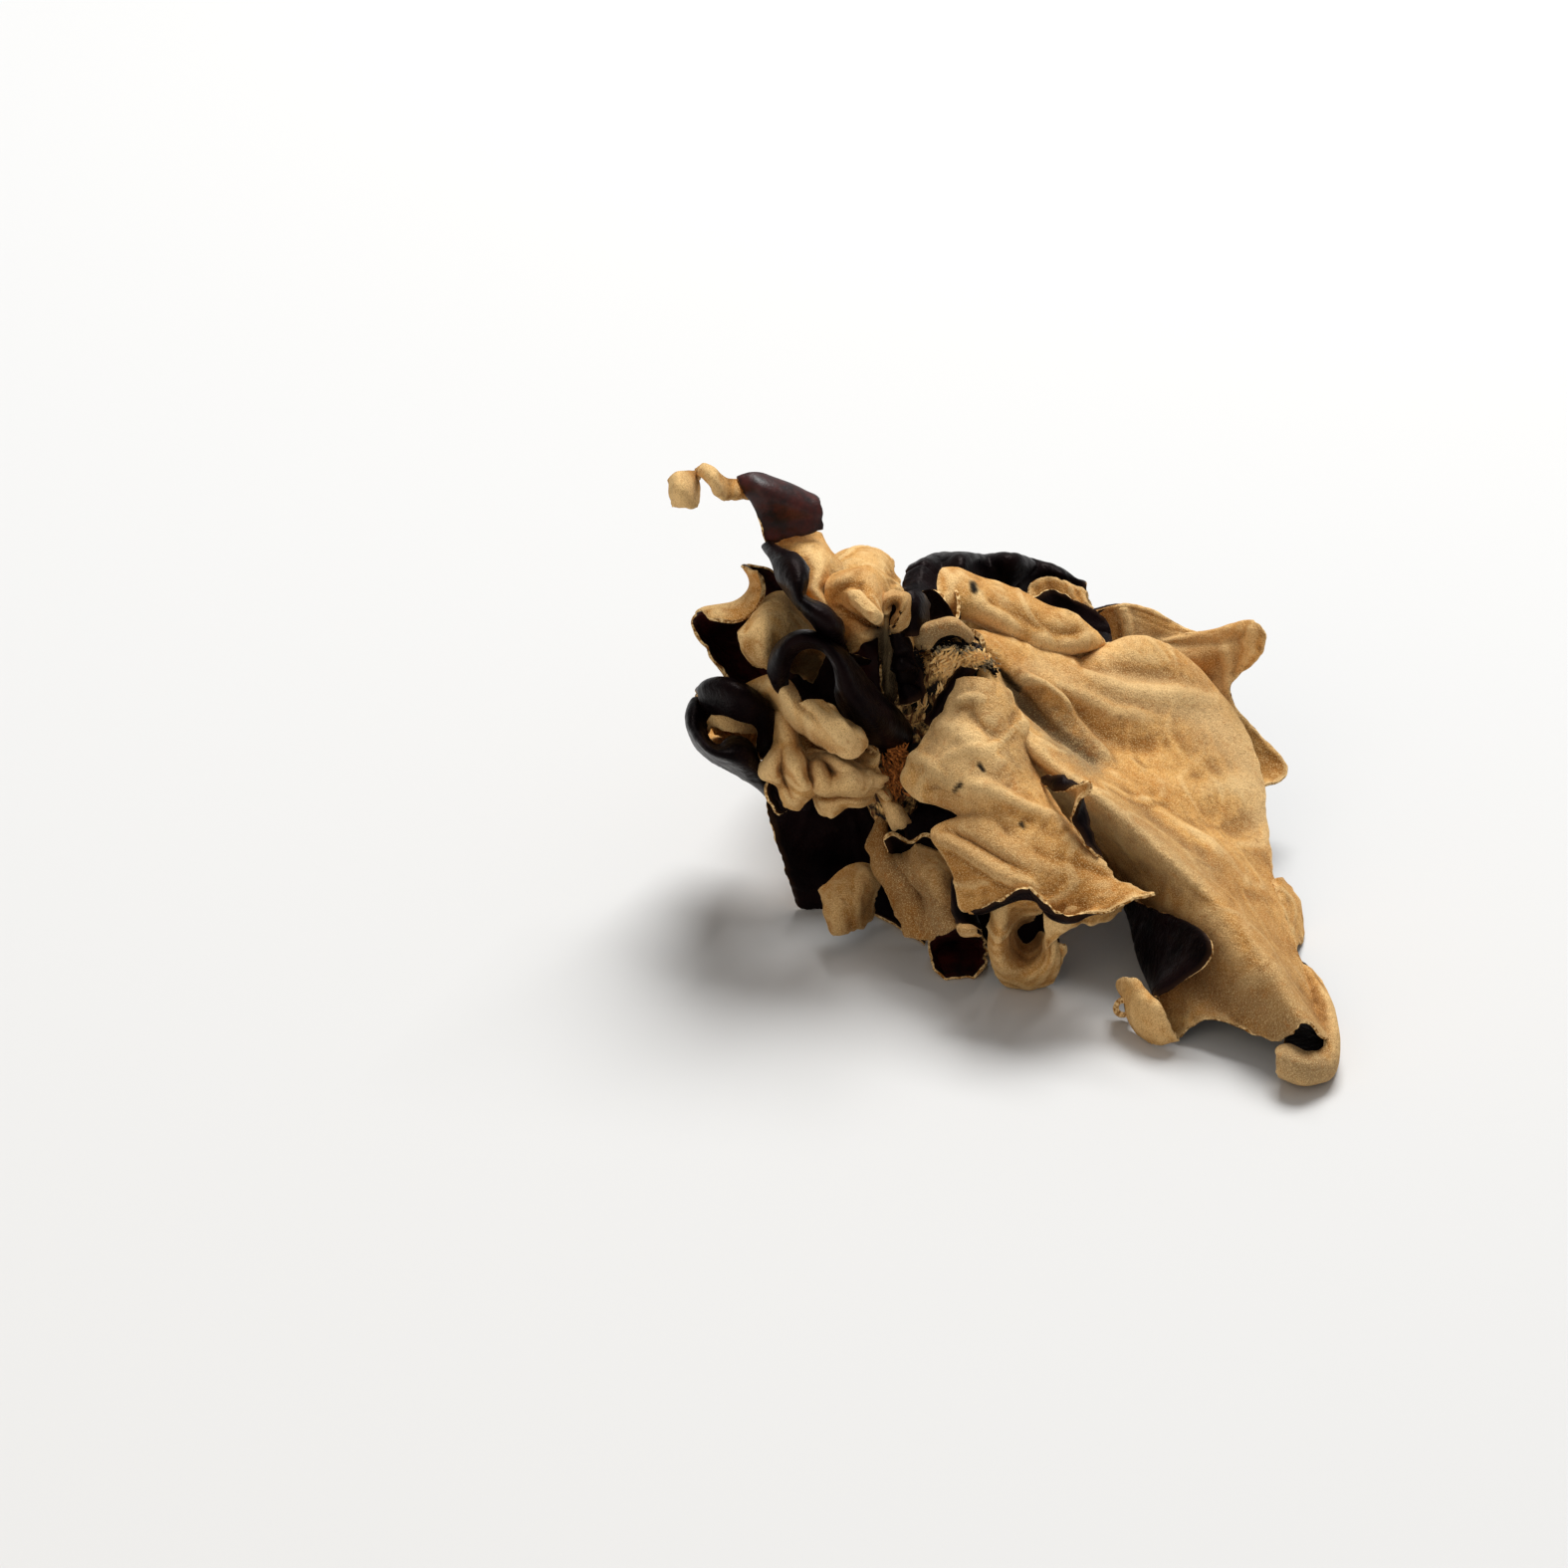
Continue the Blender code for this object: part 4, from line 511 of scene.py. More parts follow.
# The base: right, down and back as above, then the share of the base's radius
BASE_PATH = [
    ((958, 634, 28), 0.55),
    ((956, 650, 26), 0.95),
    ((950, 676, 22), 1.15),
    ((930, 716, 20), 1.0),
    ((902, 764, 12), 0.85),
    ((896, 792, 12), 0.8),
    ((894, 822, 16), 0.6),
]

# The kinds of mark: pale is painted highlight, grey is painted shade, brown is real stains and also painted
# shade, black is real spots and also painted shade in cavities
PAINTED_LIGHT_AND_STAINS = ("pale", "brown", "grey", "black")

# Lumps that break up the outline of every mark, stain, painted shade and painted highlight alike: their
# share, their size in millimetres and their seed
MARK_LUMPS = ((0.35, 1.6, 91), (0.25, 0.7, 92))

# Two faces that meet at a sharper turn than this, in radians, show a crisp edge
SHARP_CORNER = 0.9

# The grid of one sheet: its most points, its fewest each way, and each way of the rough grid
# that measures the sheet first
SHEET_POINTS = 36000
FEWEST_POINTS = 12.0
ROUGH_POINTS = 60

# Wear of a rim: the shares and the sizes in millimetres of its lumps, the share worn away
# everywhere, the shares of the sheet over which it fades from the far end and from a side, and
# the least length in millimetres that a sheet counts as, so that a small one isn't worn away
WEAR_LUMPS = ((0.6, 4.0), (0.5, 1.5))
EVEN_WEAR = 0.25
END_FADE = 0.4
SIDE_FADE = 0.35
LEAST_LENGTH = 4.0

# Along the ribs the puckers follow each other at this share of their pace across the ribs, which
# draws each out to about three times its width. The waves along a rim go at the second share of that
PUCKER_PACE = 0.35
WAVE_PACE = 0.3

# Millimetres: the size of a rim's waves, how far waves and frills reach in from the rim, and how
# far away the neighbours are that tell how hollow a place is
WAVE_SIZE = 6.0
WAVE_REACH = 6.0
FRILL_REACH = 1.6
HOLLOW_REACH = 2.0

# A crease runs where its lumps are nearer to nought than this
CREASE_WIDTH = 0.2

# A drawn fold has the first share of its height at its ends, and gains the second, times the
# share of its length from there, until it has the whole
FOLD_START = 0.35
FOLD_GROWTH = 6.0

# A sheet's rim keeps this share of its thickness, and the whole begins so many millimetres in
RIM_THICKNESS = 0.45
RIM_WIDTH = 1.2

# The most that a place counts as hollow or raised, and how far from a rim a surface without one
# counts, in millimetres
MOST_HOLLOW = 2.0
FAR_INSIDE = 9.0

# The numbers of an ear's finishes: velvety side, smooth side, worn rim, thin red side
VELVET_SIDE, SMOOTH_SIDE, WORN_RIM, THIN_SIDE = 0, 1, 2, 3

# Values a side of the lattice of soft_noise
LATTICE = 32

# Keeps a division clear of nought
TINY = 1e-9


def from_view(drawn):
    """Places in millimetres of points drawn in the drawing view.

    Each lies on the ray from the eye through the drawn point, where that is so much back.
    """
    drawn = np.asarray(drawn, float)
    across = (drawn[..., 0] - VIEW_MIDDLE) * VIEW_STEP
    rise = (VIEW_MIDDLE - drawn[..., 1]) * VIEW_STEP
    on_plane = VIEW_AIM + across[..., None] * RIGHTWARD + rise[..., None] * UPWARD
    reach = (drawn[..., 2] - EYE[1]) / (on_plane[..., 1] - EYE[1])
    return EYE + reach[..., None] * (on_plane - EYE) - FOOTPRINT_MIDDLE


def to_view(places):
    """The inverse of from_view: steps to the right and down in the drawing view of places in millimetres."""
    ray = places + FOOTPRINT_MIDDLE - EYE
    reach = VIEW_DISTANCE / (ray @ FORWARD)
    right = VIEW_MIDDLE + (ray[..., 0] * reach + EYE[0] - VIEW_AIM[0]) / VIEW_STEP
    down = VIEW_MIDDLE - (ray @ UPWARD) * reach / VIEW_STEP
    return right, down


def spline_weights(knots, places):
    """The share of each drawn point at each place of the natural cubic spline through them.

    Between two points the curve is their straight blend, bowed by the second derivatives at both,
    and those follow from neighbouring slopes being equal and both ends being straight.
    """
    system = np.eye(knots)
    slopes = np.zeros((knots, knots))
    for i in range(1, knots - 1):
        system[i, i - 1:i + 2] = (1.0, 4.0, 1.0)
        slopes[i, i - 1:i + 2] = (6.0, -12.0, 6.0)
    bend = np.linalg.solve(system, slopes)
    index = np.minimum(places.astype(int), knots - 2)
    after = (places - index)[:, None]
    before = 1.0 - after
    points = np.eye(knots)
    straight = before * points[index] + after * points[index + 1]
    bow = (before ** 3 - before) * bend[index] + (after ** 3 - after) * bend[index + 1]
    return straight + bow / 6.0


def soft_noise(places, size, seed):
    """Soft lumps of one size in millimetres, from -1 to 1.

    Random values on a cubic lattice are blended between its corners by 3t²-2t³.
    """
    lattice = np.random.default_rng(seed).uniform(-1.0, 1.0, (LATTICE, LATTICE, LATTICE))
    cell = np.floor(places / size).astype(int)
    part = places / size - cell
    part = part * part * (3.0 - 2.0 * part)
    total = np.zeros(places.shape[:-1])
    for corner in np.ndindex(2, 2, 2):
        share = np.prod(np.where(np.array(corner) == 1, part, 1.0 - part), axis=-1)
        at = (cell + corner) % LATTICE
        total += share * lattice[at[..., 0], at[..., 1], at[..., 2]]
    return total


def line_distance(right, down, line):
    """Distance in view steps of each place from a drawn line, and how far along it the nearest point is.

    The distance is the least of those from the line's straight stretches, each measured from the
    place's foot on the stretch, held between its ends.
    """
    nearest = np.full(right.shape, np.inf)
    along = np.zeros(right.shape)
    stretches = list(zip(line[:-1], line[1:]))
    for number, ((x0, y0), (x1, y1)) in enumerate(stretches):
        run = np.array([x1 - x0, y1 - y0], float)
        share = ((right - x0) * run[0] + (down - y0) * run[1]) / (run @ run)
        share = np.clip(share, 0.0, 1.0)
        away = np.hypot(right - x0 - share * run[0], down - y0 - share * run[1])
        closer = away < nearest
        nearest = np.where(closer, away, nearest)
        along = np.where(closer, (number + share) / len(stretches), along)
    return nearest, along


def lengths(places, axis):
    """Running length along one axis of a grid of places, from zero."""
    steps = np.linalg.norm(np.diff(places, axis=axis), axis=-1)
    total = np.cumsum(steps, axis=axis)
    pad = [(0, 0), (0, 0)]
    pad[axis] = (1, 0)
    return np.pad(total, pad)


def normals(places):
    """Unit normals of a grid of places: the step along the ribs crossed with the step across them."""
    along = np.gradient(places, axis=0)
    across = np.gradient(places, axis=1)
    cross = np.cross(along, across)
    return cross / np.maximum(np.linalg.norm(cross, axis=-1, keepdims=True), TINY)


def hollowness(places, facing, step):
    """How hollow each place is, in millimetres.

    It is how far the mean of its four neighbours, HOLLOW_REACH away, stands off along the normal.
    """
    reach = max(1, round(HOLLOW_REACH / step))
    wide = np.pad(places, ((reach, reach), (reach, reach), (0, 0)), mode="reflect", reflect_type="odd")
    inner = slice(reach, -reach)
    far = 2 * reach
    around = wide[far:, inner] + wide[:-far, inner] + wide[inner, far:] + wide[inner, :-far]
    return np.sum((0.25 * around - places) * facing, axis=-1)


def between(grid, along, across):
    """Values of a grid at fractional rows and columns, blended straight between the four nearest."""
    rows = np.clip(along, 0, grid.shape[0] - 1.001)
    columns = np.clip(across, 0, grid.shape[1] - 1.001)
    i = rows.astype(int)
    j = columns.astype(int)
    a = (rows - i)[..., None]
    b = (columns - j)[..., None]
    near = (1 - a) * grid[i, j] + a * grid[i + 1, j]
    far = (1 - a) * grid[i, j + 1] + a * grid[i + 1, j + 1]
    return (1 - b) * near + b * far


def spline_grid(drawn, rows, columns):
    """A grid of places over drawn ribs: natural cubic splines along the ribs and across them."""
    along = spline_weights(drawn.shape[1], np.linspace(0, drawn.shape[1] - 1, rows))
    across = spline_weights(drawn.shape[0], np.linspace(0, drawn.shape[0] - 1, columns))
    return np.einsum("ai,bj,jic->abc", along, across, drawn)


def worn(smooth, wear, seed):
    """A grid drawn in unevenly at its far end and at both sides, as a rim wears.

    A place on the rim moves in by wear times EVEN_WEAR and the lumps, and never outwards. Away from
    the rim that fades to nothing.
    """
    rows, columns = smooth.shape[:2]
    nibble = EVEN_WEAR + sum(share * soft_noise(smooth, size, seed + number)
                             for number, (share, size) in enumerate(WEAR_LUMPS))
    nibble = wear * np.maximum(nibble, 0.0)
    length = np.maximum(lengths(smooth, 0)[-1:, :], LEAST_LENGTH)
    width = np.maximum(lengths(smooth, 1)[:, -1:], LEAST_LENGTH)
    u = np.linspace(0, 1, rows)[:, None]
    v = np.linspace(0, 1, columns)[None, :]
    inward = u * (1 - nibble[-1:, :] / length * np.clip((u - (1 - END_FADE)) / END_FADE, 0, 1))
    sideways = v + nibble[:, :1] / width * np.clip((SIDE_FADE - v) / SIDE_FADE, 0, 1)
    sideways = sideways - nibble[:, -1:] / width * np.clip((v - (1 - SIDE_FADE)) / SIDE_FADE, 0, 1)
    return between(smooth, inward * (rows - 1), sideways * (columns - 1))


def drying_relief(places, rim, seed, settings, calm):
    """How far drying moved each place along its normal, in millimetres.

    The sum of soft dimples, puckers that run from root to rim, fine wrinkles and narrow creases,
    and of a wave and a frill that fade away from the rim.
    """
    long_way = lengths(places, 0)
    wide_way = lengths(places, 1)
    flat = np.stack([long_way * PUCKER_PACE, wide_way, np.full_like(wide_way, 3.0 * seed)], axis=-1)
    dimples = soft_noise(places, settings.dimple_size / MM, seed + 2)
    puckers = 1.0 - 2.0 * np.abs(soft_noise(flat, settings.pucker_size / MM, seed + 3))
    wrinkles = 1.0 - 2.0 * np.abs(soft_noise(places, settings.wrinkle_size / MM, seed + 4))
    wave = soft_noise(flat * np.array([WAVE_PACE, 1.0, 1.0]), WAVE_SIZE, seed + 5)
    frill = soft_noise(places, settings.frill_size / MM, seed + 6)
    creases = np.abs(soft_noise(places, settings.crease_spacing / MM, seed + 7))
    creases = np.minimum(creases / CREASE_WIDTH, 1.0) - 1.0
    relief = settings.dimple_depth / MM * dimples + settings.pucker_depth / MM * puckers
    relief = relief + settings.crease_depth / MM * creases * creases
    relief = calm * (relief + settings.wrinkle_depth / MM * wrinkles)
    relief = relief + calm * settings.rim_wave / MM * np.exp(-rim / WAVE_REACH) * wave
    return relief + settings.frill_depth / MM * frill * np.exp(-rim / FRILL_REACH)


def dried_sheet(ribs, seed, settings, calm, folds):
    """The middle of a dried ear as a grid of places, and each place's distance from the rim.

    A surface of two parameters over the ribs, worn at its rim, moved along its normal as drying
    does, and by the folds drawn on it: height * exp(-(distance / width)²) towards the viewer.
    """
    drawn = from_view(ribs)
    rough = spline_grid(drawn, ROUGH_POINTS, ROUGH_POINTS)
    step = settings.step / MM
    rows = max(lengths(rough, 0)[-1].max() / step, FEWEST_POINTS)
    columns = max(lengths(rough, 1)[:, -1].max() / step, FEWEST_POINTS)
    shrink = min(np.sqrt(SHEET_POINTS / (rows * columns)), 1.0)
    smooth = spline_grid(drawn, int(rows * shrink), int(columns * shrink))
    places = worn(smooth, settings.rim_wear / MM, seed)

    long_way = lengths(places, 0)
    wide_way = lengths(places, 1)
    rim = np.minimum(long_way[-1:, :] - long_way, np.minimum(wide_way, wide_way[:, -1:] - wide_way))
    facing = normals(places)
    relief = drying_relief(places, rim, seed, settings, calm)
    towards_eye = np.sign(np.sum(facing * (EYE - FOOTPRINT_MIDDLE - places), axis=-1))
    view_right, view_down = to_view(places)
    for line, width, height in folds:
        away, along = line_distance(view_right, view_down, line)
        fade = np.clip(FOLD_GROWTH * np.minimum(along, 1.0 - along) + FOLD_START, 0.0, 1.0)
        relief = relief + towards_eye * fade * height * np.exp(-((away / width) ** 2))
    places = places + relief[..., None] * facing
    half = 0.5 * settings.thickness / MM
    places[..., 2] = np.maximum(places[..., 2], half)
    return places, rim


def stain_and_light_strength(places, marks):
    """How strongly each place is marked, kind by kind, by real stains and by painted shade and highlight.

    The nearest drawn mark of a kind counts, as strength * exp(-(distance / width)²), with the
    width broken up by small lumps. Black ends more sharply, with a fourth power.
    """
    right, down = to_view(places)
    ragged = np.ones(right.shape)
    for share, size, seed in MARK_LUMPS:
        ragged += share * soft_noise(places, size, seed)
    found = {kind: np.zeros(right.shape) for kind in PAINTED_LIGHT_AND_STAINS}
    for kind, line, width, strength in marks:
        away, _ = line_distance(right, down, line)
        fade = (away / (width * ragged)) ** (4 if kind == "black" else 2)
        found[kind] = np.maximum(found[kind], strength * np.exp(-fade))
    return found


def sheet_shell(places, rim, stains_and_painted_light, velvet_away, thickness, dark):
    """A closed shell round the middle of a sheet.

    Each side stands off by half the thickness, which thins towards the rim as the square root of
    the distance from it.
    """
    facing = normals(places) * (-1.0 if velvet_away else 1.0)
    spacing = np.median(np.linalg.norm(np.diff(places, axis=0), axis=-1))
    hollow = np.clip(hollowness(places, facing, spacing), -MOST_HOLLOW, MOST_HOLLOW).reshape(-1)
    swell = RIM_THICKNESS + (1.0 - RIM_THICKNESS) * np.sqrt(np.clip(rim / RIM_WIDTH, 0.0, 1.0))
    half = (0.5 * thickness * swell)[..., None]
    velvet = places + half * facing
    smooth = places - half * facing
    rows, columns = rim.shape
    total = rows * columns
    number = np.arange(total).reshape(rows, columns)
    quads = np.stack([number[:-1, :-1], number[1:, :-1], number[1:, 1:], number[:-1, 1:]], axis=-1)
    quads = quads.reshape(-1, 4)
    loop = np.concatenate([number[:-1, 0], number[-1, :-1], number[:0:-1, -1], number[0, :0:-1]])
    after = np.roll(loop, -1)
    edge = np.stack([loop, loop + total, after + total, after], axis=-1)
    if velvet_away:
        quads = quads[:, ::-1]
        edge = edge[:, ::-1]
    vertices = np.concatenate([velvet.reshape(-1, 3), smooth.reshape(-1, 3)])
    vertices[:, 2] = np.maximum(vertices[:, 2], 0.0)
    shell = {
        "vertices": vertices,
        "faces": np.concatenate([quads, quads[:, ::-1] + total, edge]),
        "sides": np.repeat([VELVET_SIDE, dark, WORN_RIM], [len(quads), len(quads), len(edge)]),
        "hollow": np.concatenate([hollow, -hollow]),
        "rim": np.tile(rim.reshape(-1), 2),
    }
    for kind in PAINTED_LIGHT_AND_STAINS:
        shell[kind] = np.tile(stains_and_painted_light[kind].reshape(-1), 2)
    return shell


def plain_marks(count):
    """The marks of a surface without any: flat, far from a rim, and free of stains and painted light."""
    marks = {key: np.zeros(count) for key in ("hollow", *PAINTED_LIGHT_AND_STAINS)}
    marks["rim"] = np.full(count, FAR_INSIDE)
    return marks


def joined(shells):
    """Several shells as one mesh's worth of arrays."""
    offset = 0
    faces = []
    for shell in shells:
        faces.append(shell["faces"] + offset)
        offset += len(shell["vertices"])
    whole = {key: np.concatenate([shell[key] for shell in shells]) for key in shells[0]}
    whole["faces"] = np.concatenate(faces)
    return whole


def place_mesh(name, shell, finishes):
    """A mesh object at the origin from arrays in millimetres.

    A face has four corners and the number of its finish.
    """
    mesh = bpy.data.meshes.new(name)
    vertices = (shell["vertices"] * MM).astype(np.float32)
    faces = shell["faces"].astype(np.int32)
    mesh.vertices.add(len(vertices))
    mesh.vertices.foreach_set("co", vertices.ravel())
    mesh.loops.add(faces.size)
    mesh.loops.foreach_set("vertex_index", faces.ravel())
    mesh.polygons.add(len(faces))
    mesh.polygons.foreach_set("loop_start", np.arange(0, faces.size, 4, dtype=np.int32))
    mesh.polygons.foreach_set("material_index", shell["sides"].astype(np.int32))
    mesh.update(calc_edges=True)
    mesh.validate()
    mesh.shade_smooth()
    mesh.set_sharp_from_angle(angle=SHARP_CORNER)
    for key in ("hollow", "rim", *PAINTED_LIGHT_AND_STAINS):
        values = mesh.attributes.new(key, "FLOAT", "POINT")
        values.data.foreach_set("value", shell[key].astype(np.float32))
    for finish in finishes:
        mesh.materials.append(finish)
    thing = bpy.data.objects.new(name, mesh)
    bpy.context.scene.collection.objects.link(thing)
    return thing


def colour(hexed):
    """An sRGB hex colour as linear red, green, blue and full alpha."""
    values = [int(hexed[i:i + 2], 16) / 255.0 for i in (1, 3, 5)]
    return (*[v / 12.92 if v <= 0.04045 else ((v + 0.055) / 1.055) ** 2.4 for v in values], 1.0)


def add_node(tree, kind, inputs=None, **settings):
    """A node with its settings; an input is a value, or an output socket of another node to link from."""
    node = tree.nodes.new(kind)
    for key, value in settings.items():
        setattr(node, key, value)
    for key, value in (inputs or {}).items():
        if isinstance(value, bpy.types.NodeSocket):
            tree.links.new(value, node.inputs[key])
        else:
            node.inputs[key].default_value = value
    return node


def followed(tree, coords, source):
    """What a layer or a relief follows: a mark stored on the mesh by name, or lumps.

    Lumps are their size in millimetres, detail and roughness. A grain has a fourth number, the
    pattern's pace along Z, which draws it out by one over that.
    """
    if isinstance(source, str):
        return add_node(tree, "ShaderNodeAttribute", attribute_name=source).outputs["Fac"]
    size, detail, roughness, *pace = source
    if pace:
        drawn_out = {"Vector": coords, "Scale": (1.0, 1.0, pace[0])}
        coords = add_node(tree, "ShaderNodeMapping", drawn_out).outputs["Vector"]
    inputs = {"Vector": coords, "Scale": 1.0 / (size * MM), "Detail": detail, "Roughness": roughness}
    return add_node(tree, "ShaderNodeTexNoise", inputs).outputs["Fac"]


def layered_finish(name, looks, ground, layers, reliefs, values, dullness=None):
    """A material whose colour and relief are built up in layers over a ground colour.

    A layer is what it follows, the value where it begins, the value where it is full, the share
    that it then covers, and its colour: share = cover * (value - begin) / (full - begin), held
    between nought and the cover. A relief is what it follows, its strength and its height in
    millimetres. Dullness is what the roughness follows, two values of it, and the roughness there.
    """
    material = bpy.data.materials.new(name)
    material.use_nodes = True
    tree = material.node_tree
    shader = tree.nodes["Principled BSDF"]
    coords = add_node(tree, "ShaderNodeTexCoord").outputs["Object"]
    fields = {}
    for source, *_ in (*layers, *reliefs):
        if source not in fields:
            fields[source] = followed(tree, coords, source)

    base = getattr(looks, ground)
    for source, begin, full, cover, tint in layers:
        span = {"Value": fields[source], "From Min": begin, "From Max": full, "To Max": cover}
        share = add_node(tree, "ShaderNodeMapRange", span, clamp=True).outputs["Result"]
        colours = {0: share, 6: base, 7: getattr(looks, tint)}
        base = add_node(tree, "ShaderNodeMix", colours, data_type="RGBA").outputs[2]
    tree.links.new(base, shader.inputs["Base Color"])

    normal = None
    for source, strength, height in reliefs:
        inputs = {"Height": fields[source], "Strength": strength, "Distance": height * MM}
        if normal is not None:
            inputs["Normal"] = normal
        normal = add_node(tree, "ShaderNodeBump", inputs).outputs["Normal"]
    if normal is not None:
        tree.links.new(normal, shader.inputs["Normal"])

    if dullness is not None:
        source, begin, full, least, most = dullness
        span = {"Value": followed(tree, coords, source), "From Min": begin, "From Max": full,
                "To Min": least, "To Max": most}
        rough = add_node(tree, "ShaderNodeMapRange", span, clamp=True).outputs["Result"]
        tree.links.new(rough, shader.inputs["Roughness"])
    for key, value in values.items():
        shader.inputs[key].default_value = value
    return material


def velvety_finish(looks):
    """Short felted hair on a dried ear: dull, warm, mottled, with pale tips, painted shade in its valleys and
    a painted highlight on its ridges.
    """
    # Tufts a quarter of a millimetre wide: single hairs are finer, and would not show
    speck = (0.26, 1.0, 0.5)
    layers = [
        ((12.0, 5.0, 0.7), 0.40, 0.60, 1.0, "hair_pale"),
        ((6.0, 5.0, 0.7), 0.54, 0.70, 0.8, "hair_brown"),
        # Painted shade in the valleys, deepest with the hair shadow colour, and a painted highlight on the
        # ridges, all following how hollow a place is
        ("hollow", 0.01, 0.2, 0.9, "hair_brown"),
        ("hollow", 0.25, 0.8, 0.8, "hair_shadow"),
        ("hollow", -0.03, -0.25, 0.65, "hair_tip"),
        ("rim", 1.3, 0.1, 0.6, "hair_tip"),
        # Painted highlight with the pale marks, painted shade with the grey marks, real stains and painted
        # shade with the brown marks
        ("pale", 0.0, 1.0, 1.0, "hair_cream"),
        ("brown", 0.0, 1.0, 1.0, "hair_brown"),
        ("grey", 0.0, 1.0, 1.0, "hair_grey"),
        (speck, 0.50, 0.30, 0.5, "hair_brown"),
        (speck, 0.52, 0.68, 0.5, "hair_tip"),
        ((2.2, 4.0, 0.7), 0.56, 0.72, 0.45, "hair_rust"),
        ((4.5, 2.0, 0.5), 0.70, 0.78, 0.5, "hair_shadow"),
        # Real dark spots, and painted shade in cavities
        ("black", 0.0, 1.0, 1.0, "skin_black"),
    ]
    reliefs = [(speck, 0.7, 0.25), ((2.0, 4.0, 0.65), 0.75, 0.8)]
    values = {"Roughness": 0.95, "Specular IOR Level": 0.15, "Sheen Weight": 0.25,
              "Sheen Roughness": 0.35, "Sheen Tint": looks.hair_tip}
    return layered_finish("dried ear, velvety hair", looks, "hair_warm", layers, reliefs, values)


def smooth_finish(looks):
    """The spore side, dried hard like horn: near black, purple-brown, half glossy, finely shrivelled."""
    layers = [
        ((9.0, 3.0, 0.6), 0.38, 0.68, 1.0, "skin_plum"),
        ("rim", 1.6, 0.1, 0.5, "skin_rim"),
        ((2.2, 4.0, 0.7), 0.62, 0.80, 0.25, "skin_rim"),
    ]
    reliefs = [((2.4, 4.0, 0.6), 0.55, 0.6), ((0.6, 2.0, 0.6), 0.25, 0.2)]
    values = {"Specular IOR Level": 0.06, "Specular Tint": looks.skin_sheen}
    dullness = ((4.0, 3.0, 0.6), 0.3, 0.7, 0.26, 0.5)
    return layered_finish("dried ear, smooth side", looks, "skin_black", layers, reliefs, values, dullness)


def torn_finish(looks):
    """The worn rim, cut pale through the sheet, with tufts of hair and dark gaps."""
    tuft = (0.9, 3.0, 0.65)
    layers = [
        (tuft, 0.4, 0.6, 1.0, "hair_tip"),
        ((3.1, 3.0, 0.6), 0.62, 0.70, 0.85, "hair_shadow"),
    ]
    values = {"Roughness": 0.95, "Specular IOR Level": 0.15}
    return layered_finish("dried ear, worn rim", looks, "hair_brown", layers, [(tuft, 0.8, 0.3)], values)


def thin_finish(looks):
    """A smooth side so thin that it dried dark red: glossier, with fine creases."""
    layers = [
        ((5.0, 3.0, 0.6), 0.35, 0.7, 1.0, "skin_red"),
        ("rim", 1.2, 0.1, 0.6, "skin_black"),
    ]
    reliefs = [((1.6, 4.0, 0.6), 0.4, 0.4)]
    values = {"Roughness": 0.42, "Specular IOR Level": 0.3}
    return layered_finish("dried ear, thin red side", looks, "skin_plum", layers, reliefs, values)


def wood_finish(looks):
    """The torn base: coarse dead fibre, brown to straw, with a black crust in patches."""
    grain = (1.1, 4.0, 0.65, 0.35)
    layers = [
        (grain, 0.42, 0.62, 1.0, "wood_straw"),
        ((4.2, 4.0, 0.65), 0.44, 0.56, 1.0, "wood_crust"),
    ]
    values = {"Roughness": 0.9, "Specular IOR Level": 0.25}
    return layered_finish("torn woody base", looks, "wood_brown", layers, [(grain, 0.9, 0.8)], values)


def splinter_finish(name, looks, first, second):
    """Dry slivers of wood: dull, in two tones along the grain."""
    layers = [((0.8, 3.0, 0.6), 0.38, 0.62, 1.0, second)]
    values = {"Roughness": 0.9, "Specular IOR Level": 0.1}
    return layered_finish(name, looks, first, layers, [], values)


def ear_finishes():
    """The four finishes of an ear, made once: velvety side, smooth side, worn rim, thin red side."""
    looks = bpy.context.scene.wood_ear_looks
    made = bpy.data.materials
    velvet = made.get("dried ear, velvety hair") or velvety_finish(looks)
    smooth = made.get("dried ear, smooth side") or smooth_finish(looks)
    rim = made.get("dried ear, worn rim") or torn_finish(looks)
    thin = made.get("dried ear, thin red side") or thin_finish(looks)
    return [velvet, smooth, rim, thin]


# Small sheets that line or crown the ears, drawn like the others. Some are dark sheets that stand in for the
# shade in holes and hollows: painted shade
MID_EAR_LINING = [
    [(846, 634, 20), (852, 660, 19), (858, 700, 15)],
    [(866, 632, 21), (868, 660, 21), (872, 705, 16)],
    [(888, 640, 22), (890, 665, 21), (892, 712, 17)],
]
# A dark sheet that closes the trumpet's mouth: painted shade
TRUMPET_SHADE_SHEET = [
    [(886, 846, -2), (892, 858, -1), (898, 872, 0)],
    [(898, 838, -1), (903, 852, 1), (908, 868, 2)],
    [(914, 846, 0), (916, 856, 1), (918, 868, 2)],
    [(928, 838, 0), (930, 850, 1), (932, 864, 2)],
    [(944, 846, -2), (946, 858, 0), (948, 870, 1)],
]
CUP_LOOP = [
    [(962, 938, -31), (960, 934, -33), (962, 929, -31)],
    [(970, 940, -32), (971, 934, -35), (971, 927, -32)],
    [(979, 939, -32), (981, 935, -34), (980, 930, -32)],
    [(984, 942, -31), (987, 939, -32), (985, 935, -31)],
]
CORNER_RING = [
    [(1134, 1008, -37), (1133, 1007, -34)],
    [(1130, 1005, -38), (1129, 1004, -34)],
    [(1124, 1006, -38), (1124, 1006, -34)],
    [(1121, 1012, -38), (1121, 1012, -34)],
    [(1124, 1018, -38), (1124, 1018, -34)],
    [(1131, 1019, -38), (1131, 1018, -34)],
    [(1136, 1014, -38), (1136, 1013, -34)],
]
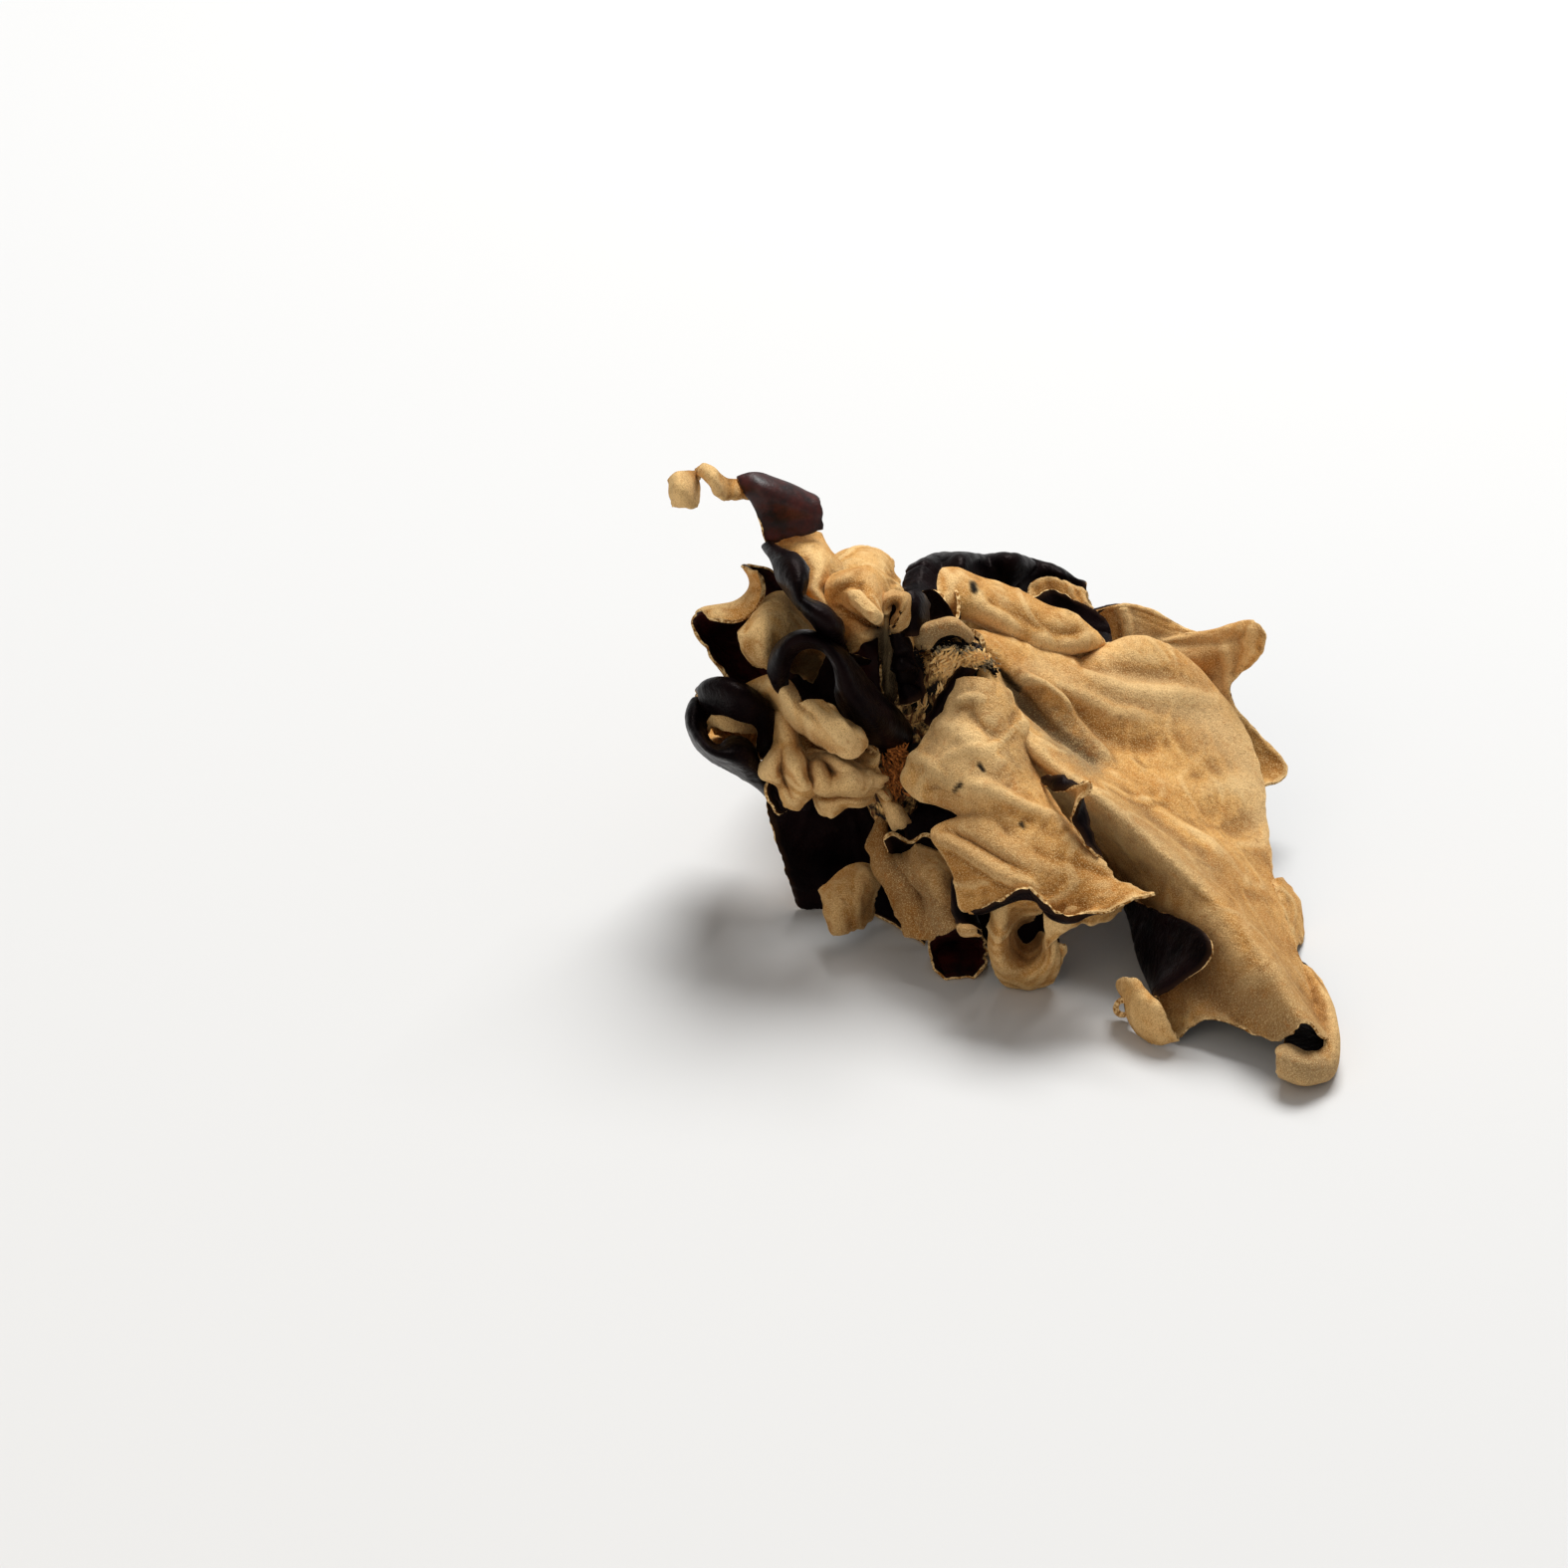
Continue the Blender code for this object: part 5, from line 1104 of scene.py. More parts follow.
# A dark sheet behind the ring's hole: painted shade
RING_SHADE_SHEET = [
    [(888, 603, 16), (887, 615, 16), (889, 630, 15)],
    [(895, 601, 17), (895, 615, 17), (895, 632, 16)],
    [(902, 603, 17), (903, 615, 17), (902, 630, 16)],
]
# A dark sheet under the collar hood: painted shade
COLLAR_SHADE = [
    [(920, 634, 20), (919, 643, 19), (918, 652, 19)],
    [(944, 626, 20), (945, 637, 19), (946, 648, 18)],
    [(972, 634, 22), (973, 641, 21), (974, 650, 20)],
]
FOOT_FRINGE = [
    [(774, 782, 2), (769, 792, 0), (771, 804, 0), (777, 814, 2), (784, 818, 3)],
    [(780, 782, 4), (778, 794, 4), (780, 804, 4), (784, 812, 5), (790, 815, 6)],
]
PALE_STRIP = [
    [(866, 742, 6), (868, 765, 6), (870, 790, 5), (884, 812, 5), (896, 836, 5)],
    [(874, 740, 4), (876, 765, 2.5), (880, 790, 2.5), (894, 810, 2), (908, 832, 2)],
    [(882, 742, 6), (885, 765, 5), (891, 788, 4.5), (905, 808, 4), (918, 826, 5)],
]
FRONT_LINING = [
    [(964, 668, 12.5), (951, 684, 11.5), (940, 702, 10), (929, 726, 8)],
    [(971, 671, 10.5), (958, 687, 9), (947, 707, 7.5), (935, 730, 6)],
    [(982, 672, 10), (968, 690, 9.5), (956, 712, 8), (944, 734, 6.5)],
]
SCAR_SKIN = [
    [(886, 640, 13), (888, 662, 12), (893, 684, 11), (900, 708, 10)],
    [(898, 636, 11), (902, 660, 9), (907, 682, 8.5), (914, 706, 8)],
    [(908, 640, 13), (913, 660, 11), (918, 680, 10.5), (922, 702, 10)],
    [(918, 650, 13), (922, 668, 11), (928, 690, 10), (932, 712, 9)],
]

# For each ear: its sheets as (ribs, whether the velvet side faces away, share of the dimples and
# waves it takes), then the folds drawn on it as (line, width in view steps, height towards the
# viewer in millimetres), then its marks as (kind, line, width in view steps, strength), then the
# numbers of its sheets whose smooth side is thin and red. The marks are real stains and painted
# light: pale marks are painted highlight, grey marks painted shade, brown marks real stains and
# painted shade in valleys and low places, black marks real spots and painted shade in cavities.
EARS = {
    "main_ear": {
        "sheets": [(MAIN_EAR, False, 0.42), (MAIN_EAR_TIP, False, 0.4), (MAIN_EAR_CORNER, True, 0.4),
                   (MAIN_EAR_EDGE, False, 0.5), (CORNER_RING, False, 0.0)],
        "folds": [
            ([(1000, 668), (1040, 690), (1064, 708), (1084, 730), (1102, 752), (1112, 770)], 6, 1.6),
            ([(1022, 696), (1040, 716), (1062, 738), (1086, 756), (1104, 774)], 9, -2.2),
            ([(1030, 730), (1050, 752), (1075, 766), (1100, 778), (1130, 797), (1170, 824), (1210, 852),
              (1245, 885)], 9, 1.6),
            ([(1022, 680), (1045, 690), (1062, 702), (1070, 713)], 3.5, 0.9),
            ([(1050, 685), (1085, 700), (1115, 716), (1150, 722)], 7, 0.9),
            ([(1072, 712), (1100, 736), (1135, 748), (1165, 746)], 13, -1.2),
            ([(990, 640), (1025, 652), (1065, 665), (1100, 684), (1130, 697), (1180, 700),
              (1215, 705)], 8, 1.4),
            ([(1075, 668), (1105, 672), (1140, 676), (1180, 682)], 10, -1.5),
            ([(1110, 770), (1150, 788), (1200, 796), (1255, 790)], 14, 0.7),
            ([(1140, 806), (1190, 826), (1235, 832), (1270, 818)], 14, -0.8),
            ([(1160, 905), (1200, 925), (1240, 960), (1270, 1000)], 16, 0.9),
            ([(1130, 860), (1180, 890), (1230, 915), (1262, 960)], 12, -1.1),
        ],
        "stains_and_painted_light": [
            # Painted shade: the valley beside the first ridge and the shaded slope below it
            ("grey", [(1016, 692), (1036, 712), (1062, 738), (1096, 766)], 15, 1.0),
            ("grey", [(1110, 810), (1160, 842), (1210, 876)], 16, 0.4),
            # Painted shade in the valleys at the hump and below the ridge, and over the low part towards the
            # tip
            ("brown", [(1080, 722), (1110, 742), (1150, 748)], 14, 0.5),
            ("brown", [(1130, 672), (1175, 678), (1205, 690)], 16, 0.45),
            ("brown", [(1140, 880), (1190, 915), (1225, 955)], 26, 0.45),
            ("brown", [(1130, 900), (1200, 960), (1260, 1010)], 60, 0.55),
            ("brown", [(1230, 890), (1285, 980), (1320, 1060)], 40, 0.5),
            # Painted highlight over the lit hump and right side
            ("pale", [(1120, 690), (1190, 705), (1245, 750), (1280, 830)], 26, 0.7),
            # Painted shade low down by the tip
            ("grey", [(1220, 1000), (1270, 1010), (1310, 1070)], 34, 0.5),
            ("brown", [(1255, 965), (1268, 975), (1280, 962)], 5, 0.8),
            ("brown", [(1096, 690), (1160, 730), (1220, 770)], 22, 0.3),
            # Painted highlights along the crests and on the curl under the tip
            ("pale", [(1040, 668), (1100, 700), (1150, 706)], 12, 0.5),
            ("pale", [(1062, 790), (1120, 830), (1180, 880), (1225, 930)], 10, 0.5),
            ("pale", [(1290, 1070), (1330, 1075)], 14, 0.6),
            ("black", [(1004, 672), (1014, 682), (1022, 690)], 4.0, 0.95),
        ],
    },
    "front_ear": {
        "sheets": [(FRONT_EAR, False, 0.9), (FRONT_LINING, True, 0.6)],
        "folds": [
            ([(1000, 686), (1010, 702), (1020, 722), (1026, 740)], 5, 1.2),
            ([(1010, 690), (1022, 708), (1030, 726)], 4, -1.0),
            ([(962, 706), (974, 702), (990, 704)], 3.5, 0.8),
            ([(972, 712), (984, 728), (1002, 742)], 7, -1.0),
            ([(940, 728), (965, 736), (992, 760), (1006, 775)], 10, 0.9),
            ([(978, 788), (1002, 798), (1026, 812), (1050, 823), (1070, 838)], 7, 1.6),
            ([(926, 786), (952, 798), (976, 806), (1000, 822), (1020, 842)], 8, -1.5),
            ([(945, 842), (968, 852), (992, 868), (1016, 882), (1040, 892)], 5, 1.3),
            ([(955, 836), (980, 848), (1004, 862), (1028, 876)], 5, -1.3),
            ([(915, 762), (934, 766), (948, 780)], 6, 0.8),
            ([(1030, 850), (1062, 862), (1100, 872), (1140, 886)], 8, -1.0),
            ([(1062, 842), (1090, 860), (1120, 876)], 6, 1.0),
        ],
        "stains_and_painted_light": [
            ("brown", [(968, 712), (978, 708)], 5, 0.7),
            ("brown", [(1008, 690), (1014, 704)], 4, 0.6),
            # Painted shade along the lower crease
            ("brown", [(955, 838), (980, 850), (1008, 866), (1030, 880)], 4, 0.7),
            ("brown", [(1000, 780), (1030, 776)], 16, 0.35),
            ("brown", [(1000, 812), (1008, 820)], 6, 0.6),
            # Painted shade along the crease by the tip, and over the low front
            ("brown", [(1060, 862), (1100, 868), (1150, 890)], 9, 0.5),
            ("brown", [(930, 850), (990, 850), (1080, 872)], 40, 0.55),
            # Painted shade in the valleys
            ("grey", [(985, 690), (1000, 720), (1022, 760)], 16, 0.25),
            ("grey", [(925, 770), (950, 790)], 16, 0.3),
            # Painted highlight over the lit upper and middle parts
            ("pale", [(960, 700), (955, 745), (985, 780)], 34, 0.7),
            ("pale", [(975, 830), (1010, 850)], 20, 0.5),
            ("black", [(984, 769), (988, 775)], 2.8, 1.0),
            ("black", [(960, 793), (967, 788)], 2.5, 1.0),
            ("black", [(1025, 828), (1027, 832)], 2.4, 0.95),
        ],
    },
    "right_ear": {
        "sheets": [(RIGHT_EAR, False, 0.4)],
        "folds": [
            ([(1124, 608), (1132, 626), (1134, 646)], 5, 1.0),
            ([(1150, 640), (1185, 648), (1225, 646), (1250, 640)], 8, -1.0),
            ([(1262, 628), (1256, 652), (1244, 678)], 6, 0.9),
            ([(1228, 648), (1236, 668), (1236, 690)], 5, 0.9),
        ],
        "stains_and_painted_light": [
            # Painted shade in the valley beside the horn
            ("brown", [(1200, 652), (1222, 660)], 10, 0.5),
            ("brown", [(1262, 628), (1274, 640)], 4, 0.6),
            # Painted highlight along the lit top and the horn
            ("pale", [(1130, 612), (1150, 640), (1190, 650), (1240, 645)], 14, 0.6),
            ("pale", [(1240, 650), (1228, 690), (1235, 720)], 14, 0.6),
        ],
    },
    "upper_ear": {
        "sheets": [(UPPER_EAR, False, 0.7)],
        "folds": [
            ([(955, 578), (975, 592), (990, 612), (1020, 632)], 8, 0.9),
            ([(985, 596), (1020, 618), (1060, 636), (1090, 640)], 9, -1.2),
            ([(1030, 640), (1062, 650), (1095, 640)], 7, 0.9),
        ],
        "stains_and_painted_light": [
            # Painted shade along the valley
            ("brown", [(1000, 605), (1040, 628), (1080, 638)], 10, 0.55),
            ("black", [(976, 589), (978, 595)], 3.6, 1.0),
        ],
    },
    "back_ear": {"sheets": [(BACK_EAR, False, 1.0)]},
    "hood_ear": {"sheets": [(HOOD_EAR, False, 0.35)]},
    "tall_ear": {
        "sheets": [(TALL_EAR_STEM, False, 0.4), (TALL_EAR_FLAG, True, 0.35), (TALL_EAR_RIBBON, False, 0.3)],
        "red": (1,),
    },
    "ruffle_ear": {
        "sheets": [(RUFFLE_LEAF, False, 0.5), (RUFFLE_FOOT, False, 0.5), (RUFFLE_SKIRT, False, 0.7),
                   (FOOT_FRINGE, True, 0.2), (PALE_STRIP, False, 1.4)],
        "folds": [
            ([(800, 700), (818, 712), (835, 728), (850, 745)], 4, 0.9),
            ([(812, 694), (832, 706), (850, 722), (862, 742)], 4, -0.9),
            ([(868, 752), (878, 760), (888, 758)], 3, -0.8),
            ([(870, 776), (880, 784), (890, 780)], 3, 0.8),
            ([(880, 800), (892, 806), (904, 802)], 3, -0.8),
        ],
        "stains_and_painted_light": [
            ("brown", [(764, 696), (768, 710), (776, 716)], 8, 0.7),
            # Painted shade in the hollow under the upper leaf and in the groove of the foot
            ("brown", [(802, 740), (815, 756), (828, 766)], 10, 0.6),
            ("brown", [(785, 764), (787, 778), (784, 790)], 4, 0.8),
            ("brown", [(822, 800), (845, 798), (866, 802)], 8, 0.55),
            # Painted highlight on the leaf and on the lower folds
            ("pale", [(790, 690), (815, 725), (850, 745)], 18, 0.45),
            ("pale", [(775, 765), (790, 780)], 12, 0.3),
            ("pale", [(825, 765), (850, 775), (875, 785)], 9, 0.6),
        ],
    },
    "lower_left_ear": {
        "sheets": [(LOWER_LEFT_EAR, False, 1.15), (LOWER_LEFT_CUP, True, 0.3), (TRUMPET_SHADE_SHEET, True, 0.3),
                   (CUP_LOOP, True, 0.2)],
        "red": (1,),
        "stains_and_painted_light": [
            # Painted shade over the trumpet and down its side
            ("brown", [(880, 830), (900, 880), (930, 930)], 60, 0.9),
            ("grey", [(905, 870), (930, 900), (945, 930)], 16, 0.5),
        ],
    },
    "pitcher_ear": {
        "sheets": [(PITCHER_EAR, False, 0.8), (PITCHER_EAR_STRIP, False, 0.5)],
        "stains_and_painted_light": [
            # Painted shade inside the pitcher's mouth
            ("brown", [(1020, 925), (1035, 950), (1020, 970)], 20, 0.5),
            ("brown", [(1060, 905), (1100, 905), (1130, 915)], 12, 0.4),
        ],
    },
    "mid_ear": {
        "sheets": [(MID_EAR, False, 0.5), (MID_EAR_LINING, True, 0.3)],
        "red": (1,),
        "folds": [
            ([(858, 598), (870, 610), (882, 622)], 3.5, 1.0),
            ([(840, 606), (852, 616), (866, 624), (879, 629)], 4, -1.2),
        ],
        "stains_and_painted_light": [
            # Painted shade along the crease and over the slope below it
            ("brown", [(838, 606), (856, 618), (878, 629)], 4, 0.6),
            ("brown", [(850, 640), (866, 650), (876, 640)], 8, 0.6),
            ("black", [(886, 640), (890, 670), (894, 712)], 15, 0.97),
            # A painted shadow line under the curled upper rim
            ("brown", [(838, 600), (848, 588), (862, 578)], 3.5, 0.6),
        ],
    },
    "back_left_ear": {"sheets": [(BACK_LEFT_EAR, False, 0.8)]},
    "left_ear": {"sheets": [(LEFT_EAR, True, 0.4)], "red": (0,)},
    "patch_ear": {
        "sheets": [(PATCH_EAR, False, 0.6)],
        "stains_and_painted_light": [
            ("brown", [(754, 650), (764, 664), (774, 668)], 9, 0.6),
            ("brown", [(786, 604), (796, 612)], 6, 0.5),
            # Painted shade where the ear lies in the hood's dark cavity
            ("black", [(796, 668), (812, 664), (830, 690)], 17, 0.8),
        ],
    },
    "round_ear": {
        "sheets": [(ROUND_EAR_SHELL, False, 0.4), (ROUND_EAR_CUP, True, 0.3),
                   (ROUND_EAR_TONGUE, False, 0.3)],
    },
    "blade_ear": {"sheets": [(BLADE_EAR, False, 0.3)]},
    "low_ear": {
        "sheets": [(LOW_EAR, False, 1.2)],
        # Painted shade over the low front of the ear
        "stains_and_painted_light": [("brown", [(830, 880), (850, 910), (860, 930)], 40, 0.5)],
    },
    "under_ear": {"sheets": [(UNDER_EAR, True, 0.7)]},
    "inner_ear": {"sheets": [(INNER_EAR, True, 0.7)]},
    "tucked_ear": {"sheets": [(TUCKED_EAR, True, 0.5)]},
    "collar_hood": {
        "sheets": [(COLLAR_HOOD, True, 0.4), (COLLAR_SHADE, True, 0.2)],
        "thickness": 0.9,
        "stains_and_painted_light": [
            ("brown", [(918, 642), (930, 630), (945, 625), (960, 628), (974, 640)], 12, 0.7),
            # Painted shade on the hood's lower band
            ("grey", [(918, 650), (928, 641), (945, 637), (960, 639), (972, 648)], 13, 0.9),
        ],
    },
    "collar_cup": {
        "sheets": [(COLLAR_RING, True, 0.4), (COLLAR_CUP, True, 0.4), (RING_SHADE_SHEET, True, 0.2)],
        "thickness": 0.8,
        "stains_and_painted_light": [
            ("brown", [(892, 604), (904, 596), (914, 602), (908, 622), (896, 632)], 9, 0.6),
            ("black", [(888, 642), (888, 672), (892, 700)], 14, 0.95),
        ],
    },
    "collar_loop": {
        "sheets": [(COLLAR_LOOP, True, 0.3), (SCAR_SKIN, True, 1.8)],
        "folds": [
            ([(890, 650), (900, 660), (914, 658)], 3, -1.0),
            ([(894, 672), (906, 668), (920, 674)], 3, 1.0),
            ([(900, 690), (912, 686), (926, 694)], 3, -1.0),
        ],
        "thickness": 0.8,
    },
}

# Slivers on the base: middle right, down and back, spread right, down and back in view steps and
# millimetres, how many, their length in millimetres, and the way they lie in the drawing view
SCAR_CHIPS = [
    ((952, 668, 14.2), (13, 14, 1.5), 420, 2.2, 120.0),
    ((944, 692, 13.5), (5, 8, 1.5), 90, 2.4, 110.0),
    ((975, 660, 15.4), (17, 8, 1.0), 300, 1.9, 30.0),
    ((926, 706, 13.0), (5, 14, 1.0), 40, 2.6, 112.0),
]
SCAR_BARK = [
    ((958, 653, 15.2), (20, 5, 1.0), 420, 1.0, 15.0),
    ((988, 666, 16.0), (10, 8, 1.0), 260, 1.0, 40.0),
]
SCAR_CRUST = [
    ((922, 676, 12.5), (6, 20, 1.5), 320, 1.4, 115.0),
    ((955, 648, 15.8), (20, 4, 1.5), 160, 1.2, 25.0),
    ((995, 674, 16.4), (6, 7, 1.0), 90, 1.2, 40.0),
]
LOWER_FIBRES = [
    ((899, 778, 5.0), (14, 26, 2.0), 420, 3.0, 80.0),
    ((903, 756, 5.0), (8, 8, 2.0), 120, 2.4, 30.0),
]

# The base's lumps: their height and size in millimetres, and their seed
BASE_LUMPS = ((1.0, 3.4, 71), (0.55, 1.4, 72))

# The ridges along the base: how many go round it, their height in millimetres, how far lumps
# bend them in radians, and the size in millimetres and the seed of those lumps
RIDGES = 9.0
RIDGE_HEIGHT = 0.45
RIDGE_BEND = 5.0
RIDGE_BEND_SIZE = 6.0
RIDGE_SEED = 73

# How unlike the slivers of a patch are: their scatter as a share of its reach, their turn in
# degrees, their lean out of the view in radians, their bow as a share of their length, and the
# least and the most of the usual length and width
SCATTER = 0.45
TURN = 28.0
LEAN = 0.35
BOW = 0.22
LENGTH_SHARES = (0.45, 1.2)
WIDTH_SHARES = (0.5, 1.3)

# A sliver's stations along it, its four corners at each, and its thickness as a share of its width
STATIONS = 6
SECTION = np.array([[1, 1], [-1, 1], [-1, -1], [1, -1]]) * 0.5
FLATNESS = 0.6


def grow_ear(name):
    """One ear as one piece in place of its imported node, with its finishes."""
    plan = EARS[name]
    settings = bpy.context.scene.wood_ear_sheet
    shells = []
    for number, (ribs, velvet_away, calm) in enumerate(plan["sheets"]):
        seed = 11 * list(EARS).index(name) + 5 * number + 1
        places, rim = dried_sheet(ribs, seed, settings, calm, plan.get("folds", ()))
        stains_and_painted_light = stain_and_light_strength(places, plan.get("stains_and_painted_light", ()))
        thickness = plan.get("thickness", settings.thickness / MM)
        dark = THIN_SIDE if number in plan.get("red", ()) else SMOOTH_SIDE
        shells.append(sheet_shell(places, rim, stains_and_painted_light, velvet_away, thickness, dark))
    thing = place_mesh(name + "_dried", joined(shells), ear_finishes())
    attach(thing, "root")
    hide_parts(name)


def tube_faces(rows, columns):
    """The faces round a closed tube: each corner's number with the next along and the next round."""
    number = np.arange(rows * columns).reshape(rows, columns)
    after = np.roll(number, -1, axis=1)
    return np.stack([number[:-1], number[1:], after[1:], after[:-1]], axis=-1).reshape(-1, 4)


def rough_stub(rows=90, columns=96):
    """The base as a surface of two parameters: along its bent path, and round it by an angle.

    The radius follows the drawn shares, closes to a point at both ends as sqrt(1 - t^8) does, with
    t from -1 to 1 along the path, and is roughened by two sizes of lumps and by ridges along it.
    """
    drawn = from_view([point for point, _ in BASE_PATH])
    shares = np.array([share for _, share in BASE_PATH])
    weights = spline_weights(len(drawn), np.linspace(0, len(drawn) - 1, rows))
    path = weights @ drawn
    share = weights @ shares
    along = np.linspace(0, 1, rows)
    closing = np.sqrt(np.clip(1 - ((along - 0.5) / 0.5) ** 8, 0.0004, 1))
    tangent = np.gradient(path, axis=0)
    tangent /= np.linalg.norm(tangent, axis=1, keepdims=True)
    sideways = np.cross(tangent, np.array([0.0, 1.0, 0.0]))
    sideways /= np.linalg.norm(sideways, axis=1, keepdims=True)
    other = np.cross(tangent, sideways)
    angle = np.linspace(0, 2 * np.pi, columns, endpoint=False)
    ring = np.cos(angle)[None, :, None] * sideways[:, None] + np.sin(angle)[None, :, None] * other[:, None]
    radius = (BASE_RADIUS * share * closing)[:, None, None]
    places = path[:, None] + radius * ring
    lump = np.zeros((rows, columns))
    for height, size, seed in BASE_LUMPS:
        lump += height * soft_noise(places, size, seed)
    bend = RIDGE_BEND * soft_noise(places, RIDGE_BEND_SIZE, RIDGE_SEED)
    lump += RIDGE_HEIGHT * np.sin(RIDGES * angle + bend)
    places = places + (lump * closing[:, None])[..., None] * ring
    fold = np.arange(columns // 2 - 1)
    cap = np.stack([fold, fold + 1, columns - fold - 2, columns - fold - 1], axis=-1)
    faces = np.concatenate([tube_faces(rows, columns), cap, cap[:, ::-1] + (rows - 1) * columns])
    return {
        "vertices": places.reshape(-1, 3),
        "faces": faces[:, ::-1],
        "sides": np.zeros(len(faces), int),
        **plain_marks(rows * columns),
    }


def slivers(patches, width, finish, seed):
    """Many small bent splinters at once: a four-cornered section carried along an arc.

    The arc is bow * (1 - (2s)²) and the width goes as sqrt(1.02 - (2s)²), with s from -0.5 to 0.5
    along the sliver. Each lies near its patch's middle, turned about its patch's own way.
    """
    random = np.random.default_rng(seed)
    corners = STATIONS * len(SECTION)
    ends = [[0, 1, 2, 3], [corners - 1, corners - 2, corners - 3, corners - 4]]
    one = np.concatenate([tube_faces(STATIONS, len(SECTION)), ends])
    station = np.linspace(-0.5, 0.5, STATIONS)
    shells = []
    for middle, reach, count, length, way in patches:
        scatter = random.normal(0.0, SCATTER, (count, 3)) * np.array(reach)
        centre = from_view(np.array(middle) + scatter)
        turn = np.radians(way + random.normal(0.0, TURN, count))
        lean = random.normal(0.0, LEAN, count)
        run = (np.cos(turn) * np.cos(lean))[:, None] * RIGHTWARD
        run = run - (np.sin(turn) * np.cos(lean))[:, None] * UPWARD - np.sin(lean)[:, None] * FORWARD
        across = np.cross(run, -FORWARD)
        across /= np.linalg.norm(across, axis=1, keepdims=True)
        upright = np.cross(run, across)
        long = length * random.uniform(*LENGTH_SHARES, count)
        bow = random.normal(0.0, BOW, count) * long
        thin = width * random.uniform(*WIDTH_SHARES, count)[:, None]
        thin = thin * np.sqrt(1.02 - (2 * station[None]) ** 2)
        line = centre[:, None] + (long[:, None] * station)[..., None] * run[:, None]
        line = line + (bow[:, None] * (1 - (2 * station) ** 2))[..., None] * upright[:, None]
        section = SECTION[:, 0, None] * across[:, None, None]
        section = section + FLATNESS * SECTION[:, 1, None] * upright[:, None, None]
        places = line[:, :, None] + thin[:, :, None, None] * section
        faces = (one[None] + corners * np.arange(count)[:, None, None]).reshape(-1, 4)
        shells.append({
            "vertices": places.reshape(-1, 3),
            "faces": faces,
            "sides": np.full(len(faces), finish),
            **plain_marks(count * corners),
        })
    return joined(shells)


def measure(label, note, default, **limits):
    """A length setting in metres with its name, its description, its default and its limits."""
    return bpy.props.FloatProperty(name=label, description=note, default=default, unit="LENGTH", **limits)


def tone(label, note, hexed):
    """A colour setting with its name, its description and its default."""
    return bpy.props.FloatVectorProperty(
        name=label, description=note, subtype="COLOR", size=4, min=0.0, max=1.0, default=colour(hexed))


class SheetSettings(bpy.types.PropertyGroup):
    """Sizes of the dried sheets."""

    thickness: measure("Sheet thickness", "Thickness of a dried ear away from its rim",
                       0.0012, min=0.0004, max=0.003)
    step: measure("Mesh step", "Distance between neighbouring points of a sheet",
                  0.00063, min=0.0003, max=0.004)
    dimple_size: measure("Dimple size", "Width of the soft dimples", 0.011, min=0.002)
    dimple_depth: measure("Dimple depth", "Depth of the soft dimples", 0.0008, min=0.0)
    pucker_size: measure("Pucker spacing", "Spacing of the puckers that run from root to rim",
                         0.0065, min=0.001)
    pucker_depth: measure("Pucker depth", "Height of the puckers", 0.0002, min=0.0)
    crease_spacing: measure("Crease spacing", "Spacing of the narrow creases", 0.012, min=0.001)
    crease_depth: measure("Crease depth", "Depth of the narrow creases", 0.0006, min=0.0)
    wrinkle_size: measure("Wrinkle size", "Width of the fine wrinkles", 0.0028, min=0.0005)
    wrinkle_depth: measure("Wrinkle depth", "Height of the fine wrinkles", 0.00012, min=0.0)
    rim_wave: measure("Rim wave", "How far a rim waves to and fro", 0.0014, min=0.0)
    rim_wear: measure("Rim wear", "How unevenly a rim is worn", 0.0010, min=0.0)
    frill_size: measure("Frill size", "Width of the small crinkles along a rim", 0.0026, min=0.0005)
    frill_depth: measure("Frill depth", "Height of the small crinkles", 0.0005, min=0.0)


class FinishSettings(bpy.types.PropertyGroup):
    """Colours of the finishes."""

    hair_pale: tone("Pale hair", "The palest felt of the velvety side", "#dca963")
    hair_warm: tone("Warm hair", "The usual felt of the velvety side", "#bd8442")
    # Real brown stains and mottling, and also painted shade in valleys and low places
    hair_brown: tone("Brown hair", "Stains and valleys of the velvety side", "#86561f")
    # Painted shade in valleys and on shaded slopes and bands
    hair_grey: tone("Grey hair", "Worn grey patches of the velvety side", "#7c6a4f")
    hair_rust: tone("Rusty hair", "Small rusty freckles of the velvety side", "#a5621f")
    # Painted highlight on lit crests and slopes
    hair_cream: tone("Cream hair", "Bleached patches of the velvety side", "#dfbd88")
    # Also the painted shade deep in valleys
    hair_shadow: tone("Hair shadow", "The gaps between the hairs", "#61390f")
    # Also the painted highlight on ridges
    hair_tip: tone("Hair tips", "The bleached tips of the hairs and the worn rim", "#f0cd92")
    skin_black: tone("Black skin", "The smooth side where it is darkest", "#050304")
    skin_plum: tone("Plum skin", "The purple-brown cast of the smooth side", "#150b0c")
    skin_sheen: tone("Skin sheen", "The tint of the soft shine on the smooth side", "#d3b4ae")
    skin_rim: tone("Skin rim", "The browner smooth side along a rim", "#3a2618")
    skin_red: tone("Red skin", "The smooth side where it is thin", "#4a1710")
    wood_straw: tone("Straw", "Fresh chips of the torn base", "#ffce82")
    wood_brown: tone("Brown wood", "Old fibre of the torn base", "#5e3518")
    wood_bark: tone("Bark", "Pale specks of bark round the scar", "#cdbb98")
    wood_rust: tone("Rust", "Fresh fibre low on the torn base", "#c87a3c")
    wood_crust: tone("Black crust", "The crust in the base's hollows", "#120c09")


